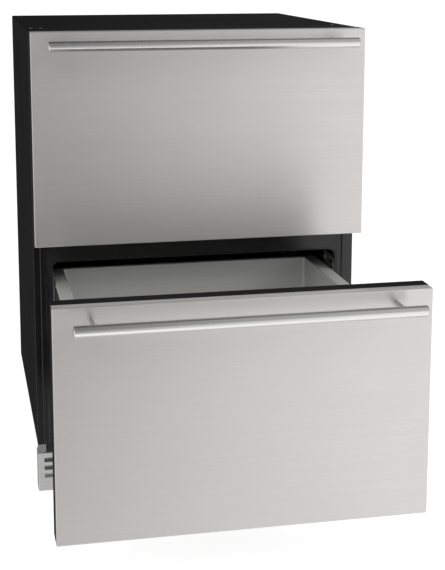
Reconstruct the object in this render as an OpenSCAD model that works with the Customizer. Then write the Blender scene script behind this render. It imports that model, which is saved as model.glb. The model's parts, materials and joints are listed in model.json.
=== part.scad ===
// Undercounter drawer refrigerator: two insulated drawers on full-extension ball-bearing
// slides in one foamed cabinet, with the sealed refrigeration system in a rear machine
// space that breathes through a louvred kick plate. Millimetres, Z up. The origin is on
// the floor, under the middle of everything as it stands with the lower drawer open.

/* [Cabinet] */
// Outer width
cab_w = 607; // [590:1:620]
// Depth from the front frame to the back
cab_d = 566; // [550:1:600]
// Height of the top over the floor
cab_h = 867; // [850:1:890]
// Height of the side sheets' lower edge over the floor
base_z = 95; // [90:1:105]
// Thickness of the outer sheet metal
sheet_t = 1.2; // [0.8:0.1:1.6]
// Corner radius of the bent outer sheet
wrap_r = 3; // [2:0.5:6]
// Width of the frame's land beside the openings
side_land = 34.5; // [33:0.5:40]
// Height of the land above the upper opening
top_land = 34; // [30:0.5:40]
// Height of the land below the lower opening
floor_land = 34; // [30:0.5:44]
// Height of the mullion between the two openings
mullion_h = 71; // [64:1:80]
// Thickness of the front frame
frame_t = 3; // [2:0.5:4]
// Width of the raised moulding on the frame
ridge_w = 10; // [6:0.5:12]
// How far the moulding stands out of the frame
ridge_h = 2; // [1:0.5:2.5]
// Wall of the plastic liners
liner_t = 2.5; // [2:0.5:3]
// Corner radius of the liners
liner_r = 12; // [8:1:20]
// Foam between the liners' back and the rear panel
back_foam = 43; // [35:1:50]

/* [Machine space] */
// Depth of the machine space at the back
machine_d = 216; // [205:1:225]
// Height of the machine space's ceiling over the floor
machine_z = 258; // [254:1:275]
// Foam between the machine space and the lower liner
machine_foam = 28; // [24:1:34]
// Height of the base pan's floor over the ground
pan_z = 18; // [16:1:24]
// Distance from the base pan's side to the cabinet's
pan_side = 41.5; // [38:0.5:48]
// Distance from the condenser to the cabinet's middle
cond_gap = 35; // [30:1:45]
// Height of the condenser and its fan shroud
cond_h = 196; // [180:1:205]
// Depth of the condenser
cond_d = 44; // [36:1:50]
// Radius of the condenser fan
fan_r = 72; // [60:1:78]
// Radius of the compressor's shell
comp_r = 74; // [65:1:78]
// Height of the compressor's shell
comp_h = 168; // [150:1:175]

/* [Kick plate] */
// Height of the kick plate's lower edge over the floor
kick_z = 2.6; // [2:0.2:10]
// Height of the kick plate
kick_h = 74; // [70:1:80]
// Set-back of the kick plate from the front frame
kick_y = 3; // [0:0.5:12]
// Depth of the kick plate's side returns
kick_return = 33; // [25:1:40]
// Height of one air slot
slot_h = 8.7; // [6:0.1:10]
// Pitch of the slot rows
slot_pitch = 15.4; // [14.5:0.1:17]
// Height of the lowest slot's lower edge above the plate's
slot_z = 25.2; // [20:0.2:28]
// Number of slots in a row
slot_columns = 6; // [4:1:8]
// Width of the bars between slots
slot_bar = 10; // [8:0.5:16]
// Width of the plain ends of the kick plate
kick_end = 11.5; // [9:0.5:16]
// Tilt of the louvre blades behind the slots
louvre_tilt = 35; // [20:1:45]

/* [Drawer fronts] */
// Height of the lower front's lower edge over the floor
front_z = 92.4; // [86:0.2:100]
// Gap between the two fronts
front_gap = 10.6; // [6:0.2:14]
// Distance from the frame to the outer face of a closed front
door_t = 53.5; // [48:0.5:60]
// Gap between the frame and the back of a closed front
door_gap = 6; // [5:0.5:8]
// Thickness of the stainless skin
skin_t = 1.2; // [0.8:0.1:1.5]
// Depth of the skin's top and bottom returns
skin_return = 19.5; // [14:0.5:24]
// Depth of the skin's side returns
skin_side = 11.5; // [8:0.5:16]
// Bend radius of the skin's front edges
skin_r = 1.5; // [1:0.25:3]
// How far the upper drawer stands open
upper_open = 0; // [0:1:420]
// How far the lower drawer stands open
lower_open = 362.5; // [0:0.5:420]

/* [Handles] */
// Distance from a handle bar's end to the front's edge
bar_end = 27.5; // [14:0.5:50]
// Diameter of the handle bar
bar_d = 18; // [14:0.5:22]
// Distance from the front's face to the bar's axis
bar_reach = 50; // [44:0.5:56]
// Distance from the front's top edge to the bar's axis
bar_drop = 22.5; // [20:0.5:30]
// Distance of a post from the bar's end
post_end = 33; // [20:1:60]
// Diameter of a post
post_d = 10; // [8:0.5:12]
// Thread diameter of the handle studs
stud_d = 6; // [5:0.5:6]

/* [Gasket] */
// Distance of the gasket's centre line from the opening's edge
gasket_out = 6; // [5.5:0.25:7]
// Width of the gasket's bulb
gasket_w = 11; // [9:0.5:12]
// Depth of the groove that holds the gasket
gasket_groove = 6; // [4:0.5:8]

/* [Bins] */
// Gap between a bin's wall and the liner, which the slide fills
bin_side = 28.8; // [28:0.1:34]
// Wall of a bin
bin_t = 1.2; // [1:0.1:1.6]
// Width of a bin's side flange
bin_flange = 23; // [20:0.5:24]
// Height of the rim of a bin below the top of its front
rim_drop = 70.4; // [66:0.2:80]
// Gap between the lower bin's step and the liner's
step_gap = 18.3; // [14:0.1:30]
// Corner radius of a bin's bottom
bin_r = 9; // [4:0.5:14]
// Clearance under and behind a bin
bin_clear = 11; // [9:0.5:14]

/* [Slides] */
// Length of a slide
slide_l = 450; // [430:5:460]
// Height of a slide's outer member
slide_h = 45.7; // [45:0.1:48]
// Thickness of a whole slide
slide_t = 12.7; // [12.7:0.1:14]
// Wall of the slide members
member_t = 1.5; // [1.2:0.1:1.6]
// Radius of the balls
ball_r = 1.98; // [1.8:0.02:2]
// Clearance of a ball in its raceways
ball_clear = 0.3; // [0.2:0.05:0.4]
// Length of a ball cage
cage_l = 182; // [140:2:200]
// Number of balls in one row of a cage
cage_balls = 7; // [5:1:9]
// Thickness of the cages' strip
cage_t = 0.4; // [0.3:0.1:0.5]
// Distance from a slide's first end to the frame
slide_y = 8; // [6:0.5:12]
// Distance of a slide's centre line below the bin's rim
slide_drop = 29; // [28:0.5:34]
// Thickness of the brackets that carry the slides
bracket_t = 2; // [1.5:0.25:2.5]
// Thickness of the rails that carry a bin
rail_t = 2; // [1.5:0.25:2.5]
// Height of the brackets' ears above the bin's rim
ear_h = 24; // [20:1:30]
// Length of the brackets' ears
ear_l = 62; // [50:1:80]

/* [Legs] */
// Radius of a levelling foot
foot_r = 19; // [15:0.5:24]
// Radius of a levelling leg's threaded stud
leg_r = 5; // [4:0.5:6]
// Travel of a levelling leg
leg_travel = 25; // [10:1:30]
// Running clearance of the leg in its nut
leg_clear = 0.08; // [0.05:0.01:0.1]
// Distance of the legs from the base pan's side
leg_in = 30; // [24:1:45]
// Distance of the front legs behind the frame
leg_front_y = 75; // [60:1:100]
// Distance of the rear legs from the back
leg_back = 38; // [34:1:60]

/* [Evaporator] */
// Distance from the evaporator's cover to the liner's back
evap_d = 36; // [34:0.5:37]
// Radius of the evaporator fan
evap_fan_r = 46; // [36:1:50]
// Thickness of the evaporator's cover
cover_t = 2; // [1.5:0.25:2.5]

/* [Hidden] */
$fn = 48;

// Colours
black = [0.11, 0.11, 0.11];
dark = [0.2, 0.2, 0.2];
steel = [0.72, 0.72, 0.7];
bright = [0.85, 0.85, 0.84];
zinc = [0.6, 0.61, 0.62];
bin_grey = [0.5, 0.51, 0.5];
copper = [0.72, 0.45, 0.3];
cream = [0.9, 0.88, 0.78];

// Levels and planes of the cabinet
half_w = cab_w / 2;
open_half = half_w - side_land;
front_h = (cab_h - front_z - front_gap) / 2;
upper_z = cab_h - front_h;
lower_z = front_z;
mullion_z = upper_z - front_gap / 2;
upper_top = cab_h - top_land;
upper_floor = mullion_z + mullion_h / 2;
lower_top = mullion_z - mullion_h / 2;
lower_floor = base_z + floor_land;
liner_back = cab_d - sheet_t - back_foam;
liner_in = liner_back - liner_t;
machine_y = cab_d - machine_d;
step_y = machine_y - sheet_t - machine_foam;
step_floor = machine_z + sheet_t + machine_foam;
pan_top = pan_z + sheet_t;
pan_half_w = half_w - pan_side;
pan_front = 40;
pan_flange_gap = 5.5;
wrap_flange = 22;
ridge_in = 12;
ridge_end = 4;
ridge_slope = 0.6;
ridge_r = 0.8;
mid_y = (cab_d - max(upper_open, lower_open) - door_t - bar_reach - bar_d / 2) / 2;

// Planes of a bin, its rails and its slides, for a drawer whose front starts at z
plate_in = open_half - bracket_t;
rail_out = plate_in - slide_t;
function rim_z(z) = z + front_h - rim_drop;
function slide_z(z) = rim_z(z) - slide_drop;
function ear_z(z) = rim_z(z) + ear_h;
bin_half_w = open_half - bin_side;
bin_out = bin_half_w + bin_t;
bin_lip = 3;
bin_lap = 8;
bin_hem = 4;
bin_step_r = 4;
bin_l = liner_in - evap_d - bin_clear;
deep_l = step_y - liner_t - step_gap;
rail_end = bin_l - 14;
rail_low = 18;
rail_tab_w = 12;
rail_tab_low = 28;
bracket_front = slide_y - 4;
bracket_back = slide_y + slide_l + 4;
ear_slot = [24, 10];
ear_slot_in = 17.6;
ear_slot_down = 11.4;
ear_screw_in = 50;
bracket_screw_r = 2.5;
bracket_screw_l = 16;
bracket_head = [4.5, 2.2];
bracket_r = [4, 4, 14, 6, 3, 3, 6, 14];

// Section of a slide: u runs from the bracket towards the bin, v up from the centre line
running = 0.35;
mid_gap = 0.6;
groove = 0.15;
race_r = ball_r + ball_clear;
cage_a_u = member_t + running;
mid_u = cage_a_u + cage_t + running;
cage_b_u = mid_u + member_t + running;
inner_u = cage_b_u + cage_t + running;
web_u = slide_t - member_t;
ball_a_u = slide_t / 2;
ball_b_u = (inner_u + web_u) / 2;
outer_v = slide_h / 2;
ball_a_v = outer_v - member_t - race_r + groove;
mid_v = ball_a_v - race_r + groove;
ball_b_v = mid_v - member_t - race_r + groove;
inner_v = ball_b_v - race_r + groove;
lip_v = mid_v + 1.8;

// Handles and legs
bar_l = cab_w - 2 * bar_end;
post_x = bar_l / 2 - post_end;
bar_bevel = 0.8;
seat_depth = 3;
seat_gap = 0.05;
stud_plate = [24, 3];
stud_in = 22;
stud_out = 17;
foot_w = gasket_w - 3;
lip_y = 1.5;
gasket_gap = 0.3;
leg_x = pan_half_w - leg_in;
leg_rear_y = cab_d - leg_back;
foot_h = 8;
foot_slope = [3, 1.5];
foot_rim = 1.2;
hex_r = 9.8;
hex_gap = 2.5;
leg_hold = 13;
boss_r = 9;
boss_h = 26;

// Kick plate: width and left edge of slot column i, and height of slot row j
slot_w = (cab_w - 2 * kick_end + slot_bar) / slot_columns - slot_bar;
function slot_x(i) = -half_w + kick_end + i * (slot_w + slot_bar);
function slot_low(j) = kick_z + slot_z + j * slot_pitch;
slot_rows = 3;
blade_t = 1;
blade_lap = 0.5;
blade_l = 12;
kick_bracket_w = 9;
kick_tab_w = 14;
kick_tab_h = 8;
kick_bracket_t = 1.5;
kick_bracket_low = 4;
kick_bracket_back = 12;
kick_bend = 2;
kick_inner_bend = 0.8;
slot_r = 0.8;

// Screws
screw_clear = 0.15;
screw_r = 2;
screw_head_r = 3.6;
screw_sink = 1.2;
top_screw_l = 14;
kick_screw_l = 7;
top_screw_x = [half_w - 27.5, half_w - 8.5];
top_screw_y = 64;
kick_screw_z = 45;
rail_screw_x = bin_half_w - 12.2;
rail_screw_r = 2.4;
rail_screw_l = 24;
rail_head = [4.5, 2.6];
rail_screw_dz = 15;

// Machine space
cond_w = pan_half_w - 27 - cond_gap;
cond_x = -cond_gap - cond_w / 2;
cond_rows = 8;
cond_fins = 20;
cond_y = machine_y + 30;
cond_z = pan_top + 2;
fin_t = 1;
shroud_t = 2;
shroud_r = 4;
pipe_r = 4;
pipe_end = 6;
fan_h = 16;
fan_tip_gap = 3;
fan_y = cond_y + cond_d + shroud_t + 4;
fan_blades = 7;
fan_pitch = 28;
fan_blade_t = 1.4;
fan_root = 2;
cond_hub_r = 20;
arm_y = fan_y + fan_h + 2;
arm_t = 3;
arm_w = 10;
arm_lap = 1;
motor_r = 24;
motor_l = 30;
motor_bend = 4;
motor_end = 2;
shaft_r = 2.5;
shaft_clear = 0.06;
shaft_hole_r = 6.5;
comp_x = pan_half_w / 2 + 1;
comp_y = machine_y + 105;
grommet_h = 13;
comp_z = pan_top + grommet_h;
foot_plate = [172, 148, 3];
foot_dx = 72;
foot_dy = 60;
foot_plate_r = 14;
foot_hole_r = 4;
grommet_r = 11;
can_low_r = 28;
can_top_r = 42;
weld_share = 0.55;
weld_lip = 4;
terminal = [12, 52, 44];
terminal_z = 40;
port_r = 5;
port_x = 30;
port_l = 30;
port_top = comp_z + foot_plate.z + comp_h + 8;
tube_r = 3;
drier_r = 9;
drier_l = 92;
drier_cone = 8;
drier_neck = [tube_r + 1, 4];
drier_x = pan_half_w - drier_r - 3;
drier_y = comp_y - 15;
drier_z = base_z + 9;
pipe_gap = 0.3;
over_gap = 16;
front_gap_y = 10;
drop_gap = 9;
cross_lift = 36;
drain_x = (cond_x + cond_w / 2 + comp_x - comp_r - terminal.x) / 2;
divider_x = drain_x + 24.5;
tray_h = 38;
tray_t = 2;
tray_r = 8;
tray_under = 12;
tray_foot_gap = 3;
tray_front = 24;
tray_back = 8;
drain_gap = 0.5;
drain_y = liner_back + 21;
drain_z = upper_floor + 9;
drain_r = 7;
drain_bore = 4.5;
inlet_x = pan_half_w - 62;
inlet_z = pan_z + 39;
inlet_w = 32;
inlet_h = 26;
inlet_l = 22;
inlet_wall = 3;
inlet_r = 3;
pin = [2, 4.5];
pin_x = 7;
pin_z = 3;
pin_back = 4;
control = [34, 110, 110];
control_lid = 4;
control_step = 3;
control_r = [5, 4];
control_y = cab_d - 16 - control.y;
control_z = base_z + 25;
vent_rows = 9;
vent_pitch = 14;
vent_w = 100;
vent_h = 5;
vent_blade = 8;
function vent_low(i) = base_z + 24 + i * vent_pitch;

// Evaporator behind the upper bin
cover_y = liner_in - evap_d;
cover_half_w = rail_out - 2.3;
evap_fan_x = cover_half_w - 87;
evap_fan_z = upper_floor + 175;
evap_fan_h = 12;
evap_hub_r = 14;
evap_motor_r = 18;
evap_motor_l = 15;
evap_fan_gap = 3;
evap_fan_y = liner_in - evap_motor_l - evap_fan_gap - evap_fan_h;
coil_x = -cover_half_w + 32;
coil_w = evap_fan_x - evap_fan_r - 39 - coil_x;
coil_d = 21;
coil_h = 180;
coil_gap = 7;
coil_lift = 45;
coil_fins = 18;
coil_rows = 6;
cover_low = 2;
cover_high = 4;
cover_r = 6;
cover_slot = [28, 10];
cover_slot_r = 4.5;
cover_slot_pitch = 38;
cover_slot_z = 20;
guard_gap = 4;
guard_w = 2;
guard_rib = 2.4;
light = [180, 14, 5];
light_r = 3;
light_y = 30;

// Points of an arc of radius r that rounds the corner b between a and c
function corner(a, b, c, r, n) =
    let (u = (a - b) / norm(a - b), v = (c - b) / norm(c - b), half = acos(u * v) / 2)
    let (o = b + (u + v) / norm(u + v) * r / sin(half))
    let (p = b + u * r / tan(half) - o, q = b + v * r / tan(half) - o)
    let (start = atan2(p.y, p.x), turn = atan2(q.y, q.x) - start)
    let (sweep = turn > 180 ? turn - 360 : turn < -180 ? turn + 360 : turn)
    r <= 0 ? [b] : [for (i = [0:n]) o + r * [cos(start + sweep * i / n), sin(start + sweep * i / n)]];

// Outline with each corner rounded by its own radius
function rounded(pts, r, n = 4) =
    let (k = len(pts))
    [for (i = [0:k - 1])
        each corner(pts[(i + k - 1) % k], pts[i], pts[(i + 1) % k], is_list(r) ? r[i] : r, n)];

function rect(x0, y0, x1, y1) = [[x0, y0], [x1, y0], [x1, y1], [x0, y1]];

module home() {
    translate([0, -mid_y, 0]) children();
}

module both_sides() {
    children();
    mirror([1, 0, 0]) children();
}

// Outline in X and Z, pushed from y0 to y1
module along_y(y0, y1) {
    translate([0, y1, 0]) rotate([90, 0, 0]) linear_extrude(y1 - y0) children();
}

// Outline in Y and Z, pushed from x0 to x1
module along_x(x0, x1) {
    translate([x0, 0, 0]) rotate([90, 0, 90]) linear_extrude(x1 - x0) children();
}

module rod_y(x, z, r, y0, y1) {
    translate([x, y1, z]) rotate([90, 0, 0]) cylinder(r = r, h = y1 - y0);
}

module rod_x(x0, x1, y, z, r) {
    translate([x0, y, z]) rotate([0, 90, 0]) cylinder(r = r, h = x1 - x0);
}

// Outline of the cabinet's shell: square below, bent at the top
module shell_outline(inset) {
    r = wrap_r - inset;
    polygon(rounded(rect(-half_w + inset, base_z + inset, half_w - inset, cab_h - inset), [0, 0, r, r]));
}

module cabinet_wrap() {
    home() color(black) difference() {
        along_y(frame_t, cab_d) difference() {
            shell_outline(0);
            shell_outline(sheet_t);
            polygon(rect(-half_w + wrap_flange, base_z - 1, half_w - wrap_flange, base_z + sheet_t + 1));
        }
        top_screws(screw_clear);
    }
}

module rear_panel() {
    home() color(zinc) along_y(cab_d - sheet_t, cab_d) intersection() {
        shell_outline(sheet_t);
        polygon(rect(-half_w, machine_z, half_w, cab_h));
    }
}

// Blade that starts just above a slot's upper edge and slopes down behind the slot
module louvre_blade(w, depth) {
    translate([-blade_lap, 0, blade_lap]) rotate([-louvre_tilt, 0, 0])
        cube([w + 2 * blade_lap, depth, blade_t]);
}

// Louvred sheet that closes the machine space
module rear_cover() {
    home() color(zinc) difference() {
        union() {
            along_y(cab_d - sheet_t, cab_d) {
                polygon(rect(-half_w + sheet_t, base_z + sheet_t, half_w - sheet_t, machine_z));
                polygon(rect(-pan_half_w + sheet_t, pan_top, pan_half_w - sheet_t, base_z + sheet_t));
            }
            for (x = [cond_x, comp_x], i = [0:vent_rows - 1])
                translate([x - vent_w / 2, cab_d - sheet_t / 2, vent_low(i) + vent_h])
                    mirror([0, 1, 0]) louvre_blade(vent_w, vent_blade);
        }
        along_y(cab_d - sheet_t, cab_d + 1)
            for (x = [cond_x, comp_x], i = [0:vent_rows - 1])
                polygon(rect(x - vent_w / 2, vent_low(i), x + vent_w / 2, vent_low(i) + vent_h));
        along_y(cab_d - 2, cab_d + 1) inlet_outline(0);
    }
}

// Outline of one opening in the frame, grown by the liner's wall
module opening_outline(z0, z1, grow) {
    polygon(rounded(rect(-open_half - grow, z0 - grow, open_half + grow, z1 + grow), liner_r + grow));
}

module front_frame() {
    ridge_x = half_w - ridge_in - ridge_w;
    home() color(black) {
        along_y(0, frame_t) difference() {
            shell_outline(0);
            opening_outline(upper_floor, upper_top, liner_t);
            opening_outline(lower_floor, lower_top, liner_t);
        }
        both_sides() translate([0, 0, base_z + ridge_end])
            linear_extrude(cab_h - base_z - 2 * ridge_end)
                polygon(rounded([[ridge_x, 0], [ridge_x + ridge_slope, -ridge_h],
                    [ridge_x + ridge_w - ridge_slope, -ridge_h], [ridge_x + ridge_w, 0]],
                    [0, ridge_r, ridge_r, 0]));
    }
}

// Space that the upper liner takes in the foam
module upper_liner_block() {
    along_y(0, liner_back) opening_outline(upper_floor, upper_top, liner_t);
}

// Space that the lower liner takes in the foam, stepped over the machine space
module lower_liner_block() {
    along_y(0, step_y) opening_outline(lower_floor, lower_top, liner_t);
    along_y(0, liner_back) opening_outline(step_floor + liner_t, lower_top, liner_t);
}

module upper_liner() {
    home() color(dark) difference() {
        upper_liner_block();
        along_y(-1, liner_in) opening_outline(upper_floor, upper_top, 0);
        rod_y(drain_x, drain_z, drain_bore, liner_in - 1, liner_back + 1);
        bracket_holes(upper_z);
    }
}

module lower_liner() {
    home() color(dark) difference() {
        lower_liner_block();
        along_y(-1, step_y - liner_t) opening_outline(lower_floor, lower_top, 0);
        along_y(-1, liner_in) opening_outline(step_floor + liner_t, lower_top, 0);
        bracket_holes(lower_z);
    }
}

module insulation_foam() {
    home() color(cream) difference() {
        along_y(frame_t, cab_d - sheet_t) shell_outline(sheet_t);
        translate([-half_w, 0, 0]) cube([cab_w, cab_d, base_z + 2 * sheet_t]);
        translate([-half_w, machine_y - sheet_t, 0]) cube([cab_w, cab_d, machine_z + sheet_t]);
        upper_liner_block();
        lower_liner_block();
        top_screws(screw_clear);
        bracket_holes(upper_z);
        bracket_holes(lower_z);
        drain_path(drain_gap);
    }
}

// Sheet under the foam, which steps up to make the machine space's ceiling
module step_panel() {
    t = sheet_t;
    y = machine_y;
    home() color(zinc) difference() {
        along_x(-half_w + t, half_w - t) polygon([[frame_t, base_z + t], [y, base_z + t], [y, machine_z],
            [cab_d - t, machine_z], [cab_d - t, machine_z + t], [y - t, machine_z + t],
            [y - t, base_z + 2 * t], [frame_t, base_z + 2 * t]]);
        drain_path(drain_gap);
    }
}

module at_legs() {
    for (x = [-leg_x, leg_x], y = [leg_front_y, leg_rear_y]) translate([x, y, 0]) children();
}

// Tray with the nuts for the legs, the partition between cool and warm air, and at the front two
// wings that keep the air from going round its sides
module base_pan() {
    t = sheet_t;
    flange = half_w - pan_flange_gap;
    wing_low = kick_z + kick_bracket_low;
    home() color(zinc) difference() {
        union() {
            along_y(pan_front, cab_d - t) polygon([[-flange, base_z], [-flange, base_z - t],
                [-pan_half_w, base_z - t], [-pan_half_w, pan_z], [pan_half_w, pan_z],
                [pan_half_w, base_z - t], [flange, base_z - t], [flange, base_z],
                [pan_half_w - t, base_z], [pan_half_w - t, pan_top], [-pan_half_w + t, pan_top],
                [-pan_half_w + t, base_z]]);
            both_sides() translate([pan_half_w - t, pan_front, wing_low])
                cube([flange - pan_half_w + t, t, base_z - wing_low]);
            translate([divider_x, pan_front, pan_top]) cube([t, machine_y - pan_front, base_z - pan_top]);
            at_legs() translate([0, 0, pan_top]) cylinder(r = boss_r, h = boss_h);
        }
        at_legs() translate([0, 0, pan_z - 1]) cylinder(r = leg_r + leg_clear, h = boss_h + 4);
    }
}

// Foot, hexagon and stud of one levelling leg
module levelling_leg(x, y) {
    hex_z = pan_z - hex_gap;
    home() color(dark) translate([x, y, 0]) {
        rotate_extrude() polygon([[0, 0], [foot_r, 0], [foot_r, foot_h / 2],
            [foot_r - foot_slope.x, foot_h - foot_slope.y], [hex_r + foot_rim, foot_h], [0, foot_h]]);
        translate([0, 0, foot_h]) cylinder(r = hex_r, h = hex_z - foot_h, $fn = 6);
        translate([0, 0, hex_z]) cylinder(r = leg_r, h = leg_travel + leg_hold);
    }
}

module leg_front_left() {
    levelling_leg(-leg_x, leg_front_y);
}

module leg_front_right() {
    levelling_leg(leg_x, leg_front_y);
}

module leg_rear_left() {
    levelling_leg(-leg_x, leg_rear_y);
}

module leg_rear_right() {
    levelling_leg(leg_x, leg_rear_y);
}

// Stainless grille with a louvre blade folded in behind each slot
module kick_plate() {
    t = sheet_t;
    back = kick_y + kick_return;
    home() color(steel) difference() {
        union() {
            translate([0, 0, kick_z]) linear_extrude(kick_h) polygon(rounded([[-half_w, kick_y],
                [half_w, kick_y], [half_w, back], [half_w - t, back], [half_w - t, kick_y + t],
                [-half_w + t, kick_y + t], [-half_w + t, back], [-half_w, back]],
                [kick_bend, kick_bend, 0, 0, kick_inner_bend, kick_inner_bend, 0, 0]));
            for (i = [0:slot_columns - 1], j = [0:slot_rows - 1])
                translate([slot_x(i), kick_y + t / 2, slot_low(j) + slot_h]) louvre_blade(slot_w, blade_l);
        }
        along_y(kick_y - 1, kick_y + t)
            for (i = [0:slot_columns - 1], j = [0:slot_rows - 1])
                polygon(rounded(rect(slot_x(i), slot_low(j), slot_x(i) + slot_w, slot_low(j) + slot_h),
                    slot_r, 2));
        kick_screws(screw_clear);
    }
}

// Angles that hang from the cabinet's lower flange and hold the kick plate's ends
module kick_brackets() {
    x = half_w - sheet_t;
    y = kick_y + sheet_t;
    t = kick_bracket_t;
    low = kick_z + kick_bracket_low;
    back = pan_front - kick_bracket_back;
    tab_z = kick_z + kick_h - kick_tab_h;
    home() color(zinc) difference() {
        both_sides() {
            translate([0, 0, low]) linear_extrude(base_z - low) polygon(rounded([
                [x - kick_bracket_w, y], [x, y], [x, back], [x - t, back],
                [x - t, y + t], [x - kick_bracket_w, y + t]], [0, kick_bend, 0, 0, 0, 0]));
            translate([x - kick_tab_w, y, tab_z])
                cube([kick_tab_w - kick_bracket_w + t, t, base_z - tab_z]);
            translate([x - kick_tab_w, y, base_z - t]) cube([kick_tab_w, back + kick_tab_h - y, t]);
        }
        kick_screws(screw_clear);
    }
}

// Countersunk screw along -Z with its head's face at z = 0
module flush_screw(clear, l) {
    rotate_extrude() polygon([[0, 1], [screw_head_r + clear, 1], [screw_head_r + clear, 0],
        [screw_r + clear, -screw_sink], [screw_r + clear, -l - clear], [0, -l - clear]]);
}

module top_screws(clear) {
    for (x = [-top_screw_x[1], -top_screw_x[0], top_screw_x[0], top_screw_x[1]])
        translate([x, top_screw_y, cab_h]) flush_screw(clear, top_screw_l);
}

module kick_screws(clear) {
    both_sides() translate([half_w, kick_y + kick_return / 2, kick_screw_z]) rotate([0, 90, 0])
        flush_screw(clear, kick_screw_l);
}

// The screws on the top and in the kick plate's sides, all flush
module cabinet_screws() {
    home() color(bright) intersection() {
        union() {
            top_screws(0);
            kick_screws(0);
        }
        translate([-half_w, 0, 0]) cube([cab_w, cab_d, cab_h]);
    }
}

// Welded steel can on its foot plate, with the terminal cover and two ports
module compressor() {
    base = comp_z + foot_plate.z;
    home() color(black) translate([comp_x, comp_y, 0]) {
        difference() {
            translate([0, 0, comp_z]) linear_extrude(foot_plate.z)
                polygon(rounded(rect(-foot_plate.x / 2, -foot_plate.y / 2, foot_plate.x / 2,
                    foot_plate.y / 2), foot_plate_r));
            for (x = [-foot_dx, foot_dx], y = [-foot_dy, foot_dy])
                translate([x, y, comp_z - 1]) cylinder(r = foot_hole_r, h = foot_plate.z + 2);
        }
        translate([0, 0, base]) rotate_extrude()
            polygon(rounded(rect(0, 0, comp_r, comp_h), [0, can_low_r, can_top_r, 0], 7));
        translate([0, 0, base + comp_h * weld_share]) cylinder(r = comp_r + weld_lip, h = weld_lip);
        translate([-comp_r - terminal.x, -terminal.y / 2, base + terminal_z])
            cube([2 * terminal.x, terminal.y, terminal.z]);
        for (x = [-port_x, port_x])
            translate([x, 0, port_top - port_l]) cylinder(r = port_r, h = port_l);
    }
}

module compressor_grommets() {
    home() color(dark) for (x = [-foot_dx, foot_dx], y = [-foot_dy, foot_dy])
        translate([comp_x + x, comp_y + y, pan_top]) difference() {
            cylinder(r = grommet_r, h = grommet_h);
            translate([0, 0, -1]) cylinder(r = foot_hole_r, h = grommet_h + 2);
        }
}

// Block of fins on level tubes of radius r, with bends at both ends
module finned_coil(w, d, h, fins, rows, r) {
    step = h / rows;
    for (i = [0:fins - 1])
        translate([-w / 2 + i * (w - fin_t) / (fins - 1), 0, 0]) cube([fin_t, d, h]);
    for (j = [0:rows - 1]) rod_x(-w / 2 - pipe_end, w / 2 + pipe_end, d / 2, step * (j + 0.5), r);
    for (j = [0:rows - 2]) {
        side = j % 2 == 0 ? 1 : -1;
        translate([side * (w / 2 + pipe_end), d / 2, step * (j + 1)])
            rotate([90, 0, 0]) rotate([0, 0, -90 * side])
                rotate_extrude(angle = 180) translate([step / 2, 0]) circle(r = r);
    }
}

module condenser_coil() {
    home() color(dark) translate([cond_x, cond_y, cond_z])
        finned_coil(cond_w, cond_d, cond_h, cond_fins, cond_rows, pipe_r);
}

// Sheet with a collar round the fan and three arms that carry its motor
module fan_shroud() {
    y0 = cond_y + cond_d;
    r = fan_r + fan_tip_gap;
    z = cond_z + cond_h / 2;
    home() color(dark) {
        along_y(y0, y0 + shroud_t) difference() {
            polygon(rounded(rect(cond_x - cond_w / 2, cond_z, cond_x + cond_w / 2, cond_z + cond_h),
                shroud_r));
            translate([cond_x, z]) circle(r = r, $fn = 96);
        }
        along_y(y0, arm_y + arm_t) translate([cond_x, z]) difference() {
            circle(r = r + shroud_t, $fn = 96);
            circle(r = r, $fn = 96);
        }
        along_y(arm_y, arm_y + arm_t) translate([cond_x, z]) difference() {
            union() {
                circle(r = motor_r);
                for (a = [90, 210, 330]) rotate(a) translate([motor_r - fan_tip_gap, -arm_w / 2])
                    square([r - motor_r + fan_tip_gap + arm_lap, arm_w]);
            }
            circle(r = shaft_hole_r);
        }
    }
}

// Motor can with the bearing bore, its face at y = 0 and its back at l
module fan_motor(r, l) {
    rotate([-90, 0, 0]) difference() {
        rotate_extrude() polygon(rounded(rect(0, 0, r, l), [0, 0, motor_bend, 0]));
        translate([0, 0, -1]) cylinder(r = shaft_r + shaft_clear, h = l - motor_end - 1);
    }
}

// Axial fan on its shaft, its front at y = 0
module axial_fan(r, hub_r, h, shaft_l) {
    blades = fan_blades;
    pitch = fan_pitch;
    chord = (h - fan_root) / sin(pitch);
    rotate([-90, 0, 0]) {
        cylinder(r = hub_r, h = h);
        translate([0, 0, h - 1]) cylinder(r = shaft_r, h = shaft_l + 1);
        intersection() {
            cylinder(r = r, h = h, $fn = 96);
            for (i = [0:blades - 1]) rotate(i * 360 / blades) translate([hub_r - fan_root, 0, h / 2])
                rotate([pitch, 0, 0]) translate([0, -chord / 2, -fan_blade_t / 2])
                    cube([r, chord, fan_blade_t]);
        }
    }
}

module condenser_fan_motor() {
    home() color(black) translate([cond_x, arm_y + arm_t, cond_z + cond_h / 2])
        fan_motor(motor_r, motor_l);
}

module condenser_fan() {
    home() color(dark) translate([cond_x, fan_y, cond_z + cond_h / 2])
        axial_fan(fan_r, cond_hub_r, fan_h, arm_y + arm_t - fan_y - fan_h + motor_l / 2);
}

// Copper can between the condenser and the capillary tube
module filter_drier() {
    neck = drier_neck;
    cone = neck.y + drier_cone;
    home() color(copper) translate([drier_x, drier_y, drier_z]) rotate_extrude()
        polygon([[0, 0], [neck.x, 0], neck, [drier_r, cone], [drier_r, drier_l - cone],
            [neck.x, drier_l - neck.y], [neck.x, drier_l], [0, drier_l]]);
}

// Round tube along a list of points
module tube_path(points) {
    for (i = [0:len(points) - 2]) hull() {
        translate(points[i]) sphere(r = tube_r, $fn = 12);
        translate(points[i + 1]) sphere(r = tube_r, $fn = 12);
    }
}

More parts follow.
